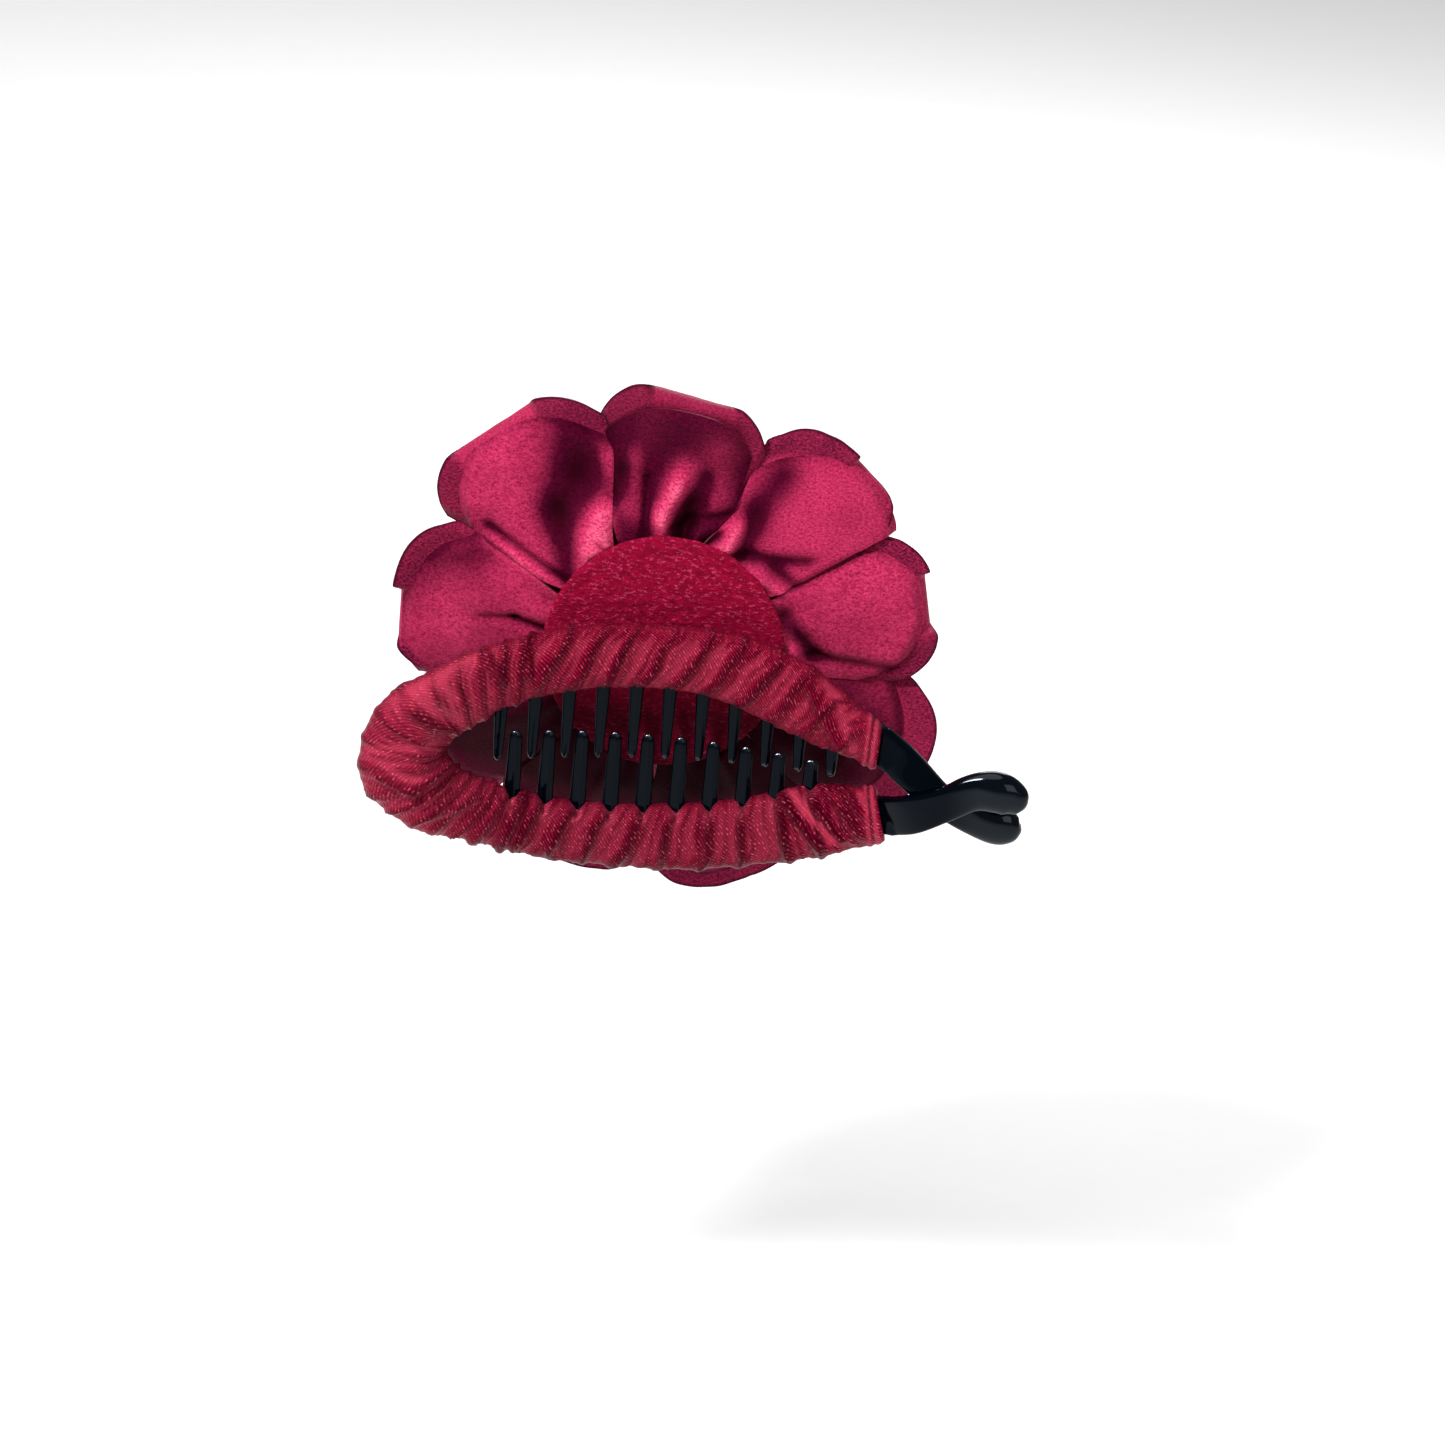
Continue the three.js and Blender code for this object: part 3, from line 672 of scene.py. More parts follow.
camera_data = bpy.data.cameras.new("camera")
camera_data.lens = VIEW_LENS
camera_data.sensor_width = VIEW_SENSOR
camera_data.clip_start = 0.01
camera = add_object("camera", camera_data)
bpy.context.scene.camera = camera
back = Vector((0, -math.cos(VIEW_ELEVATION), math.sin(VIEW_ELEVATION)))
right = Vector((1, 0, 0))
up = back.cross(right)
rolled_right = right * math.cos(VIEW_ROLL) + up * math.sin(VIEW_ROLL)
rolled_up = up * math.cos(VIEW_ROLL) - right * math.sin(VIEW_ROLL)
camera.matrix_world = Matrix.Translation(TARGET + back * VIEW_DISTANCE) @ Matrix(
    (
        (rolled_right.x, rolled_up.x, back.x),
        (rolled_right.y, rolled_up.y, back.y),
        (rolled_right.z, rolled_up.z, back.z),
    )
).to_4x4()


def area_light(name, place, size, power):
    """A square light aimed at the clip."""
    data = bpy.data.lights.new(name, "AREA")
    data.shape = "SQUARE"
    data.size = size
    data.energy = power
    light = add_object(name, data)
    light.location = place
    aim = TARGET - Vector(place)
    light.rotation_euler = aim.to_track_quat("-Z", "Y").to_euler()


for area_settings in AREA_LIGHTS:
    area_light(*area_settings)

sun_data = bpy.data.lights.new("overhead", "SUN")
sun_data.energy = SUN_STRENGTH
sun_data.angle = SUN_SPREAD
sun = add_object("overhead", sun_data)
sun.rotation_euler = SUN_TILT

world = bpy.data.worlds.new("world")
bpy.context.scene.world = world
world.use_nodes = True
world_tree = world.node_tree
background = world_tree.nodes["Background"]
background.inputs["Color"].default_value = (1, 1, 1, 1)
world_ray = world_tree.nodes.new("ShaderNodeLightPath")
world_strength = world_tree.nodes.new("ShaderNodeMapRange")
world_strength.inputs["To Min"].default_value = WORLD_LIGHT
world_strength.inputs["To Max"].default_value = WORLD_SEEN
world_tree.links.new(world_ray.outputs["Is Camera Ray"], world_strength.inputs["Value"])
world_tree.links.new(world_strength.outputs["Result"], background.inputs["Strength"])

bpy.context.scene.view_settings.view_transform = "Standard"

floor_mesh = bpy.data.meshes.new("floor")
floor_corners = [
    (side_x * FLOOR_REACH, side_y * FLOOR_REACH, FLOOR_Z * MM)
    for side_x, side_y in ((-1, -1), (1, -1), (1, 1), (-1, 1))
]
floor_mesh.from_pydata(floor_corners, [], [(0, 1, 2, 3)])
floor = add_object("floor", floor_mesh)
paper = Nodes("floor_paper")
paper_grain = paper.noise(paper.object_position(), 180.0, 2.0)
paper.set(Base_Color=paper.mix(paper_grain, (0.93, 0.93, 0.93, 1), (0.96, 0.96, 0.96, 1)), Roughness=0.9)
floor_mesh.materials.append(paper.material)


# ---- Comb arms ----
BAR_SIDES = 28
BAR_ROWS = 60
TAIL_ROWS = 70
# A tooth's section, the raised line down its face towards the head included: shares of its half
# width and half depth.
TOOTH_OUTLINE = [
    (-1.0, 0.15), (-0.93, -0.42), (-0.6, -0.66), (0.12, -0.8), (0.26, -1.0),
    (0.4, -0.8), (0.75, -0.6), (0.96, -0.35), (1.0, 0.15), (0.82, 0.7),
    (0.4, 0.95), (-0.4, 0.95), (-0.82, 0.7),
]
TOOTH_OVERLAP = 2.5  # how far a tooth starts inside its bar
TIP_START = 0.9  # share of a tooth's length at which its tip starts to round off


def upper_tips(distance):
    """Z of the upper teeth's tips."""
    return -3 + 0.0246 * (distance - 18.1)


def lower_tips(distance):
    """Z of the lower teeth's tips."""
    return 3.1 - 0.0005 * (distance - 21) ** 2


def tooth_places(teeth):
    """Distances of the teeth along the clip."""
    return [teeth["first"] + i * teeth["pitch"] for i in range(teeth["count"])]


def section(squareness):
    """A bar's cross-section as (across, deep) shares: square with rounded corners, or round."""
    angle = (np.arange(BAR_SIDES) + 0.5) / BAR_SIDES * 2 * np.pi
    power = 1.0 - 0.62 * np.asarray(squareness)[..., None]
    across = np.sign(np.cos(angle)) * np.abs(np.cos(angle)) ** power
    deep = np.sign(np.sin(angle)) * np.abs(np.sin(angle)) ** power
    return across, deep


def loft(centres, half_width, half_depth, squareness):
    """Rings round a line of centres, with the width in the XZ plane."""
    tangent = np.gradient(centres, axis=0)
    tangent /= np.linalg.norm(tangent, axis=1, keepdims=True)
    width = np.cross(np.array([0.0, 1.0, 0.0]), tangent)
    width /= np.linalg.norm(width, axis=1, keepdims=True)
    depth = np.cross(tangent, width)
    across, deep = section(squareness)
    return (
        centres[:, None, :]
        + width[:, None, :] * (across * half_width[:, None])[..., None]
        + depth[:, None, :] * (deep * half_depth[:, None])[..., None]
    )


def closed_loft(rings):
    """Vertices and outward faces of rings with both ends closed by a fan to a centre point."""
    rows, columns = rings.shape[:2]
    vertices = np.concatenate([rings.reshape(-1, 3), rings[:1].mean(axis=1), rings[-1:].mean(axis=1)])
    side = quads_of(rows, columns, 0, True)
    start = rows * columns
    last = (rows - 1) * columns
    j = np.arange(columns)
    k = (j + 1) % columns
    first_fan = np.stack([k, j, np.full(columns, start)], axis=-1)
    last_fan = np.stack([last + j, last + k, np.full(columns, start + 1)], axis=-1)
    triangles = vertices[np.concatenate([side[:, :3], side[:, [0, 2, 3]], first_fan, last_fan])]
    volume = np.einsum("ij,ij->", triangles[:, 0], np.cross(triangles[:, 1], triangles[:, 2]))
    faces = [tuple(f) for group in (side, first_fan, last_fan) for f in group]
    if volume < 0:
        faces = [f[::-1] for f in faces]
    return vertices, faces


def join_parts(parts):
    """The vertices and faces of several parts as one list of each."""
    vertices = []
    faces = []
    offset = 0
    for part_vertices, part_faces in parts:
        vertices.append(part_vertices)
        faces.extend(tuple(i + offset for i in f) for f in part_faces)
        offset += len(part_vertices)
    return np.concatenate(vertices), faces


def bar_part(side, tail):
    """The bar inside a sleeve (side 1 above, -1 below) and its tail, in one loft."""
    share = np.linspace(0, 1, BAR_ROWS)
    spine = line_through(SPINE, share)
    half_depth = spine[:, 3]
    if side < 0:
        # The lower bar starts thinner, between the fork's cheeks.
        half_depth = np.where(share < 0.25, np.minimum(half_depth, 1.0 + share * 2), 1.5)
    spine_rows = np.column_stack(
        [
            spine[:, 0] - HINGE_TO_MIDDLE,
            arch_y(spine[:, 0]),
            side * spine[:, 1],
            spine[:, 2],
            half_depth,
            np.ones(BAR_ROWS),
        ]
    )
    tail_line = line_through(tail, np.linspace(0, 1, TAIL_ROWS))
    tail_rows = np.column_stack(
        [
            tail_line[:, 0] - HINGE_TO_MIDDLE,
            arch_y(tail_line[:, 0]) + tail_line[:, 2],
            tail_line[:, 1],
            tail_line[:, 3:],
        ]
    )
    rows = np.concatenate([spine_rows, tail_rows])
    rings = loft(rows[:, :3], rows[:, 3], rows[:, 4], np.clip(rows[:, 5], 0, 1))
    return closed_loft(rings)


def spine_height(distance):
    """Height of a bar's middle line at a distance from the pin."""
    line = line_through(SPINE, np.linspace(0, 1, 400))
    return np.interp(distance, line[:, 0], line[:, 1])


def tooth_part(distance, side, teeth, tip_z):
    """A blade that runs up (side 1) or down (-1) to a rounded tip."""
    root_z = -side * (spine_height(distance) - TOOTH_OVERLAP)
    length = abs(tip_z - root_z)
    tip_share = 1 - TIP_START
    tip_rows = 1 - tip_share * (1 - np.sin(np.linspace(0.1, np.pi / 2, 9)))
    along = np.concatenate([np.linspace(0, TIP_START, 10), tip_rows])
    in_tip = np.maximum(along - TIP_START, 0) / (tip_share + 0.0001)
    round_off = np.sqrt(1 - in_tip**2)
    half_width = (teeth["root"] + (teeth["tip"] - teeth["root"]) * along) / 2 * round_off
    half_depth = teeth["depth"] / 2 * (1 - 0.25 * along) * round_off
    outline = np.array(TOOTH_OUTLINE[::side])
    rings = np.zeros((len(along), len(outline), 3))
    rings[:, :, 0] = distance - HINGE_TO_MIDDLE + outline[:, 0] * half_width[:, None]
    rings[:, :, 1] = arch_y(distance) + outline[:, 1] * half_depth[:, None]
    rings[:, :, 2] = (root_z + side * length * along)[:, None]
    return closed_loft(rings[:, ::-1])


def arm_piece(name, node, side, tail, teeth, tip_of, body):
    """A comb arm. Its polish value marks the teeth's tips and, a little, the thumb pad."""
    parts = [bar_part(side, tail)]
    for place in tooth_places(teeth):
        parts.append(tooth_part(place, -side, teeth, tip_of(place)))
    vertices, faces = join_parts(parts)
    distance = vertices[:, 0] + HINGE_TO_MIDDLE
    past_tip = -side * (vertices[:, 2] - tip_of(distance))
    polish = smooth(past_tip, -1.1, -0.3) * (distance < 90) + 0.18 * smooth(distance, 104, 112)
    piece = make_piece(name, vertices, faces, [PLASTIC], values={"polish": polish})
    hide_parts(node)
    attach(piece, body)


arm_piece("comb_arm_upper", "upper_arm", 1, UPPER_TAIL, UPPER_TEETH, upper_tips, ROOT_BODY)
arm_piece("comb_arm_lower", "lower_arm", -1, LOWER_TAIL, LOWER_TEETH, lower_tips, MOVING_BODY)


# ---- Gathered sleeves ----
RIBS = UPPER_RIBS + [HINGE_RIB] + LOWER_RIBS
LAST_RIB = len(RIBS) - 1
AROUND = 112
ROW_STEP = 0.36
SEAM_UPPER = 9
SEAM_LOWER = LAST_RIB - 9
SLEEVE_CORNERS = 0.85  # 1 would make the sleeve's section an ellipse
FAN_PLEATS = 12  # pleats round the hinge
# The two ridges of the folded hem and the groove between them, from the sleeve's open end.
HEM_EDGE = 0.9
HEM_GROOVE = 1.6
HEM_RIDGE = 2.3
PLEAT_HEIGHT = 2.1
GATHER_HEIGHT = 0.9
WRINKLE_HEIGHT = 0.2
SWELL_HEIGHT = 0.35
# Teeth pull the inner edge into puckers: whose teeth, whether on the lower sleeve, depth, half width.
PUCKERS = ((LOWER_TEETH, True, 2.0, 0.9), (UPPER_TEETH, False, 0.8, 1.1))
# How far the pleats lean over from the inner to the outer edge, in pleats, at these ribs.
LEAN_RIBS = [0, 8, 13, 18, LAST_RIB - 6, LAST_RIB - 4, LAST_RIB]
LEANS = [1.2, 1.0, 0, 0.5, 0.7, 0.1, -0.9]
# How an open end is tucked in: each ring's share of the end's size, and how far inside it lies.
TUCK_RINGS = ((0.6, 3.0), (0.68, 1.2), (0.78, 0.25), (0.88, -0.15), (0.965, -0.1))

# Folds of the sleeve seen from the head side, as (distance, height) ends, half width, rise, and painted
# shade (a painted highlight below zero).
SLEEVE_FOLDS = [
    ((73.4, -3.2), (83.5, -13.6), 1.0, 1.6, -1.0),
    ((71.6, -4.2), (81.2, -15.4), 0.9, -1.0, 0.8),
    ((75.6, -1.6), (85.8, -13.0), 0.7, -0.9, 0.8),
    ((77.1, 1.4), (87.6, -9.0), 0.8, -0.7, 0.3),
    ((80.2, 1.0), (89.9, -7.0), 0.7, -0.6, 0.3),
    ((88.0, -1.0), (89.6, -5.0), 1.0, 0.8, -0.3),
    ((77.1, 17.0), (83.2, 6.7), 1.2, -0.8, 0.4),
    ((81.5, 18.5), (86.0, 6.0), 1.6, 0.7, -0.2),
    ((2.2, 9.3), (8.6, 5.2), 1.0, -0.9, 0.8),
    ((4.0, 11.6), (9.6, 7.2), 1.4, 1.2, -0.3),
    ((6.2, 15.6), (9.3, 11.6), 0.9, 1.0, -0.3),
    ((-3.9, -4.4), (2.8, -6.8), 0.9, -0.9, 0.7),
    ((2.8, -6.8), (8.6, -2.4), 0.9, -0.9, 0.7),
    ((-3.2, -2.2), (3.2, -4.4), 1.1, 1.0, -0.3),
    ((-6.3, 1.2), (5.6, 2.2), 1.2, 0.9, -0.3),
    ((-1.2, 12.7), (12.3, 20.6), 3.0, 0.7, -0.35),
    ((13.1, 21.6), (18.1, 15.0), 1.0, -1.3, 0.7),
    ((21.8, 22.5), (23.1, 15.6), 0.9, -1.0, 0.5),
    ((14.3, -9.8), (6.4, -12.0), 1.1, -1.0, 0.5),
    ((19.0, -11.0), (14.4, -18.5), 1.0, -1.1, 0.5),
    ((23.4, -11.0), (20.0, -20.5), 1.0, -1.1, 0.5),
]


def sleeve_rows():
    """Rib numbers at even steps along the sleeve, with a row exactly at each seam between pieces."""
    fine = np.linspace(0, LAST_RIB, 1201)
    rows = line_through(RIBS, fine / LAST_RIB)
    centre = (rows[:, 0:2] + rows[:, 2:4]) / 2
    steps = np.linalg.norm(np.diff(centre, axis=0), axis=1)
    length = np.concatenate([[0], np.cumsum(steps)])
    number = []
    seams = []
    for first, last in ((0, SEAM_UPPER), (SEAM_UPPER, SEAM_LOWER), (SEAM_LOWER, LAST_RIB)):
        start, end = np.interp([first, last], fine, length)
        count = int((end - start) / ROW_STEP)
        places = np.linspace(start, end, count, endpoint=last == LAST_RIB)
        seams.append(len(number))
        number.extend(np.interp(places, length, fine))
    return np.array(number), np.interp(number, fine, length), seams[1:]


def pleat_phase(number, rows):
    """Count of pleats passed at each row: one at every tooth, and a fan of them round the hinge."""
    inner_x = rows[:, 2]
    outer_step = np.linalg.norm(np.diff(rows[:, 0:2], axis=0), axis=1)
    outer_length = np.concatenate([[0], np.cumsum(outer_step)])
    start, end = np.interp([SEAM_UPPER - 0.5, SEAM_LOWER + 0.5], number, outer_length)
    sweep = np.clip((outer_length - start) / (end - start), 0, 1)
    hinge = LAST_RIB / 2
    innermost = inner_x.min()
    upper_x = np.where(number <= hinge, inner_x, innermost)
    lower_x = np.where(number > hinge, inner_x, innermost)
    upper = (tooth_places(UPPER_TEETH)[-1] - upper_x) / UPPER_TEETH["pitch"]
    lower = (lower_x - LOWER_TEETH["first"]) / LOWER_TEETH["pitch"]
    lower_start = (innermost - LOWER_TEETH["first"]) / LOWER_TEETH["pitch"]
    whole = round(upper.max() + FAN_PLEATS - lower_start) - upper.max() + lower_start
    return upper + whole * sweep + lower - lower_start


def plain_sleeve(rows, across, deep, hem):
    """Points of the sleeve before it is gathered, and at each how much painted highlight a lower tooth's
    pucker gets.
    """
    centre = (rows[:, 0:2] + rows[:, 2:4]) / 2
    half = (rows[:, 0:2] - rows[:, 2:4]) / 2
    half_length = np.linalg.norm(half, axis=1, keepdims=True)
    unit = half / half_length
    wide = np.sign(across) * np.abs(across) ** SLEEVE_CORNERS
    thick = np.sign(deep) * np.abs(deep) ** SLEEVE_CORNERS
    reach = (half_length - 0.4 + hem) * wide
    inner_side = smooth(-across, 0.3, 0.98)
    below = rows[:, 1:2] < 0
    pucker_highlight = np.zeros(reach.shape)
    for teeth, is_lower, depth, width in PUCKERS:
        for place in tooth_places(teeth):
            x = centre[:, :1] + unit[:, :1] * reach
            share = bell(x, place, width) * (below == is_lower)
            reach = reach + depth * share * inner_side
            pucker_highlight = pucker_highlight + share * smooth(-across, 0.1, 0.95) * is_lower
    x = centre[:, :1] + unit[:, :1] * reach
    z = centre[:, 1:2] + unit[:, 1:2] * reach
    y = arch_y(x) + (rows[:, 4:5] - 0.5 + hem) * thick
    return np.stack([x - HINGE_TO_MIDDLE, y, z], axis=-1), pucker_highlight


def gathers(phase, number, outward, deep):
    """Crests of the pleats and of the finer gathers, each with its strength, and the wrinkles'."""
    lean = np.interp(number, LEAN_RIBS, LEANS)
    wander = 0.17 * noise(phase * 0.9, outward * 1.1 + deep, 3)
    wander = wander + 0.06 * noise(phase * 2.3, outward * 2.5 + deep, 4)
    shifted = phase + lean * outward + wander * smooth(outward, 0.02, 0.4)
    crest = np.abs(np.sin(np.pi * shifted))
    strength = np.clip(0.75 + 0.4 * noise(shifted * 0.8, outward * 1.3 + deep, 5), 0.3, 1.1)
    fine = shifted * 2.7 + 0.35 * noise(shifted * 1.7, outward * 1.6 + deep, 6)
    fine_crest = np.abs(np.sin(np.pi * fine))
    fine_strength = 0.6 + 0.4 * noise(shifted * 1.4, outward * 2 + deep * 1.5, 7)
    wrinkle = fine * 2.3 + 0.5 * noise(shifted * 3.1, outward * 3 + deep, 8)
    return crest, strength, fine_crest, fine_strength, np.abs(np.sin(np.pi * wrinkle))


def sleeve_surface():
    """Points and material values of both arms' sleeves in one grid, and the seam rows."""
    number, along, seams = sleeve_rows()
    rows = line_through(RIBS, number / LAST_RIB)
    phase = pleat_phase(number, rows)[:, None]
    along = along[:, None]
    number = number[:, None]
    angle = np.arange(AROUND) / AROUND * 2 * np.pi
    across = np.cos(angle)[None, :]
    deep = np.sin(angle)[None, :]
    outward = (across + 1) / 2
    from_end = np.minimum(along - along[0], along[-1] - along)
    hem = 0.45 * bell(from_end, HEM_EDGE, 0.55) + 0.4 * bell(from_end, HEM_RIDGE, 0.5)
    past_hem = smooth(from_end, 1.5, 5.0)
    base, pucker_highlight = plain_sleeve(rows, across, deep, hem)
    normals = -grid_normals(base, True)
    in_fan = smooth(number, SEAM_UPPER - 1, SEAM_UPPER + 2)
    in_fan = in_fan * (1 - smooth(number, SEAM_LOWER - 2, SEAM_LOWER + 1))
    # Pleats are broad puffs between tight creases, with finer gathers on them and wrinkles on those.
    crest, strength, fine_crest, fine_strength, wrinkles = gathers(phase, number, outward, deep)
    height = PLEAT_HEIGHT * strength * (crest**0.6 - 0.5)
    height = height + GATHER_HEIGHT * fine_strength * (fine_crest**0.8 - 0.6)
    height = height + WRINKLE_HEIGHT * (wrinkles - 0.6)
    height = height + SWELL_HEIGHT * noise(along / 9, outward * 1.5 + deep, 9)
    height = np.maximum(height, -1.0) * (1 - 0.55 * np.abs(across) ** 3) * (0.9 - 0.2 * in_fan)
    height = height * past_hem + 0.15 * (fine_crest - 0.5) * smooth(4.0 - from_end, 0, 2)
    folds, painted_dark = fold_heights(SLEEVE_FOLDS, base[..., 0] + HINGE_TO_MIDDLE, base[..., 2])
    head_side = smooth(-deep, -0.1, 0.35)
    painted_dark = painted_dark * head_side
    height = height * (1 - 0.6 * smooth(np.abs(folds), 0.2, 0.9) * head_side)
    height = height + folds * head_side * 0.9
    height = np.maximum(height, -1.1 + 0.8 * smooth(9.0 - from_end, 0, 3))
    points = base + normals * height[..., None]
    # Painted shade: in the creases of the pleats and gathers, over the lower sleeve, along the folds and
    # in the hem's groove.
    painted_shade = (1 - smooth(crest, 0.0, 0.6)) * strength
    painted_shade = painted_shade + 0.55 * (1 - smooth(fine_crest, 0.0, 0.6)) * fine_strength
    painted_shade = painted_shade + 0.32 * (rows[:, 1:2] < 0) * (1 - in_fan)
    painted_shade = painted_shade * past_hem + painted_dark + 0.8 * bell(from_end, HEM_GROOVE, 0.35)
    # Painted highlight: on the lower teeth's puckers, the pleats' crests, along the folds, on the hem's
    # ridges and round the hinge.
    painted_highlight = pucker_highlight * 1.1 + 0.3 * smooth(height, 0.35, 0.9) + np.clip(-painted_dark, 0, 1) * 0.5
    painted_highlight = painted_highlight + 0.6 * bell(from_end, HEM_EDGE, 0.4) + 0.5 * bell(from_end, HEM_RIDGE, 0.4)
    painted_highlight = painted_highlight + 0.18 * in_fan
    cloth = np.stack([along * 1.3 + 0 * height, angle * 6.0 + 0 * height, 0 * height], axis=-1)
    values = {"cloth": cloth, "painted_shade": np.clip(painted_shade, 0, 1), "painted_highlight": np.clip(painted_highlight, 0, 1)}
    return points, values, seams


def tuck_ends(points, values):
    """Turns the cloth in at both open ends of the sleeve, as a folded hem is."""
    count = len(TUCK_RINGS)
    for _ in range(2):
        middle = points[0].mean(axis=0)
        inward = points[4].mean(axis=0) - middle
        inward /= np.linalg.norm(inward)
        rings = [middle + (points[0] - middle) * scale + inward * shift for scale, shift in TUCK_RINGS]
        points = np.concatenate([np.array(rings), points])[::-1]
        for key, value in values.items():
            values[key] = np.concatenate([np.repeat(value[:1], count, axis=0), value])[::-1]
    return points, values


def sleeve_piece(name, nodes, points, values, normals, body):
    """A length of the sleeve as a closed double skin, in place of CAD nodes."""
    vertices, faces, kinds = double_sheet(points[:, ::-1], SLEEVE_CLOTH, True, normals[:, ::-1])
    both = {key: both_sides(value[:, ::-1]) for key, value in values.items()}
    piece = make_piece(
        name, vertices, faces, [RIBBON], values=both, sharp_faces=kinds == 2
    )
    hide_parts(*nodes)
    if body:
        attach(piece, body)
    return piece


def sleeves():
    """The sleeve in three lengths: one on each arm, and one round the hinge."""
    points, values, (upper_seam, lower_seam) = sleeve_surface()
    points, values = tuck_ends(points, values)
    normals = grid_normals(points, True)
    upper_row = upper_seam + len(TUCK_RINGS)
    lower_row = lower_seam + len(TUCK_RINGS)
    parts = {
        "upper": (slice(0, upper_row + 1), ["sleeve_upper", "hem_upper"], ROOT_BODY, (0.038, 0.09)),
        "hinge": (slice(upper_row, lower_row + 1), ["sleeve_hinge"], None, (0.042, 0.065)),
        "lower": (slice(lower_row, None), ["sleeve_lower", "hem_lower"], MOVING_BODY, (0.038, 0.09)),
    }
    pieces = {}
    for name, (rows, nodes, body, flat) in parts.items():
        part_values = {key: value[rows] for key, value in values.items()}
        pieces[name] = sleeve_piece(
            f"sleeve_cloth_{name}", nodes, points[rows], part_values, -normals[rows], body
        )
    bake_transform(pieces["hinge"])


sleeves()


# ---- Velvet disc ----
def velvet_disc():
    """A disc with an uneven pile on its face towards the head and a slightly frayed, rounded edge."""
    edge = DISC_RADIUS
    angle = np.arange(160) / 160 * 2 * np.pi
    profile = [(0.02, 0.0)] + [(r, 0.0) for r in np.linspace(1, edge - 0.8, 46)]
    profile += [(edge - 0.35, 0.1), (edge - 0.05, 0.4), (edge, 0.8), (edge - 0.3, DISC_THICKNESS - 0.05)]
    profile += [(r, DISC_THICKNESS) for r in np.linspace(edge - 1, 0.02, 12)]
    rings = []
    for r, y in profile:
        x = r * np.cos(angle)
        z = r * np.sin(angle)
        pile = 0.16 * noise(x / 1.6, z / 0.6, 5) + 0.12 * noise(x / 4.0, z / 2.2, 6)
        frayed = 0.006 * noise(angle * 14, 0.0, 7) + 0.004 * noise(angle * 40, 0.0, 8)
        fray = 1 + frayed * (r > edge - 1.5)
        face = pile * (y < 0.05)
        rings.append(np.stack([FLOWER_X + x * fray, DISC_BACK + y + face, FLOWER_Z + z * fray], axis=-1))
    vertices, faces = closed_loft(np.array(rings)[:, ::-1])
    # Painted shade, darker towards the disc's lower part.
    shade = smooth(FLOWER_Z - vertices[:, 2], 6, 14)
    piece = make_piece("velvet_disc", vertices, faces, [VELVET], values={"shade": shade})
    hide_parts("backing_disc")
    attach(piece, ROOT_BODY)


velvet_disc()


# ---- Petals ----
TOP_LOBE = 1
FLOWER_BACK = 7.2  # Y of the flower's back at its middle
BEHIND_DISC = 6.75  # Y that the back petals keep to under the disc
PAINTED_SHADING_LIMITS = (-0.9, 1.7)  # lightest painted highlight and darkest painted shadow on the satin
ROLL_INSET = 4.2  # how far inside the rim a rolled edge starts
ROLL_RADIUS = 2.3
ROLL_TURN = 2.3  # radians the cloth turns through
ROLL_BLEND = 0.05  # share of the lobe's half width over which a roll turns into an ear
NO_ROLL = 99.0  # a radius past every rim


def back_surface(radius, angle):
    """Y of the flower's back: its rims lean to the front, but the top lobe's leans back at the end."""
    forward = FLOWER_BACK + 5.0 * smooth(radius, 22, 52) ** 1.3
    leaning = FLOWER_BACK + 4.6 * smooth(radius, 22, 34) - 3.8 * smooth(radius, 34, 50)
    top = bell((angle - 90 + 180) % 360 - 180, 0, 26)
    return forward * (1 - top) + leaning * top


def run_lengths(points, axis):
    """Length run along one axis of a grid of points, from its first row or column."""
    steps = np.linalg.norm(np.diff(points, axis=axis), axis=2)
    return np.insert(np.cumsum(steps, axis=axis), 0, 0, axis=axis)


def edge_distance(points):
    """Each point's distance to the free edge: the sides and the last row of its grid."""
    across = run_lengths(points, 1)
    down = run_lengths(points, 0)
    sides = np.minimum(across, across[:, -1:] - across)
    return np.minimum(sides, down[-1:] - down)


def petal_piece(name, node, points, cloth, painted_shading, satin=None, ear=None, edge_offset=0.0):
    """A petal as a closed sheet: front satin, the given satin or the outer one behind, and the rim."""
    vertices, faces, kinds = double_sheet(points, PETAL_CLOTH)
    values = {
        "cloth": cloth,
        "painted_shading": painted_shading,
        "edge": edge_distance(points) + edge_offset,
        "ear": np.zeros(painted_shading.shape) if ear is None else ear,
    }
    values = {key: both_sides(value) for key, value in values.items()}
    materials = [SATIN_FRONT, satin or SATIN_OUTER, RIM]
    piece = make_piece(name, vertices, faces, materials, kinds, values, kinds == 2)
    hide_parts(node)
    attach(piece, ROOT_BODY)


def petal_grid(u_count, v_count):
    """Places from side to side (u, -1 to 1) and root to rim (v, 0 to 1), closer at the sides."""
    u = np.sin(np.linspace(-1, 1, u_count) * np.pi / 2 * 0.92) / math.sin(np.pi / 2 * 0.92)
    v = np.linspace(0, 1, v_count) ** 0.92
    return np.meshgrid(u, v)


def polar(radius, angle):
    """X and Z from the flower's centre at a radius and an angle in degrees."""
    a = np.radians(angle)
    return radius * np.cos(a), radius * np.sin(a)


def petal_points(radius, angle, depth):
    """Points round the flower's centre, with depth as their Y."""
    x, z = polar(radius, angle)
    return np.stack([FLOWER_X + x, depth, FLOWER_Z + z], axis=-1)


def lobe(index):
    """A lobe's middle direction, half width in degrees, and its row of sizes."""
    start = LOBES[index][0]
    end = LOBES[(index + 1) % len(LOBES)][0]
    if end < start:
        end += 360
    return (start + end) / 2, (end - start) / 2, LOBES[index][1:]


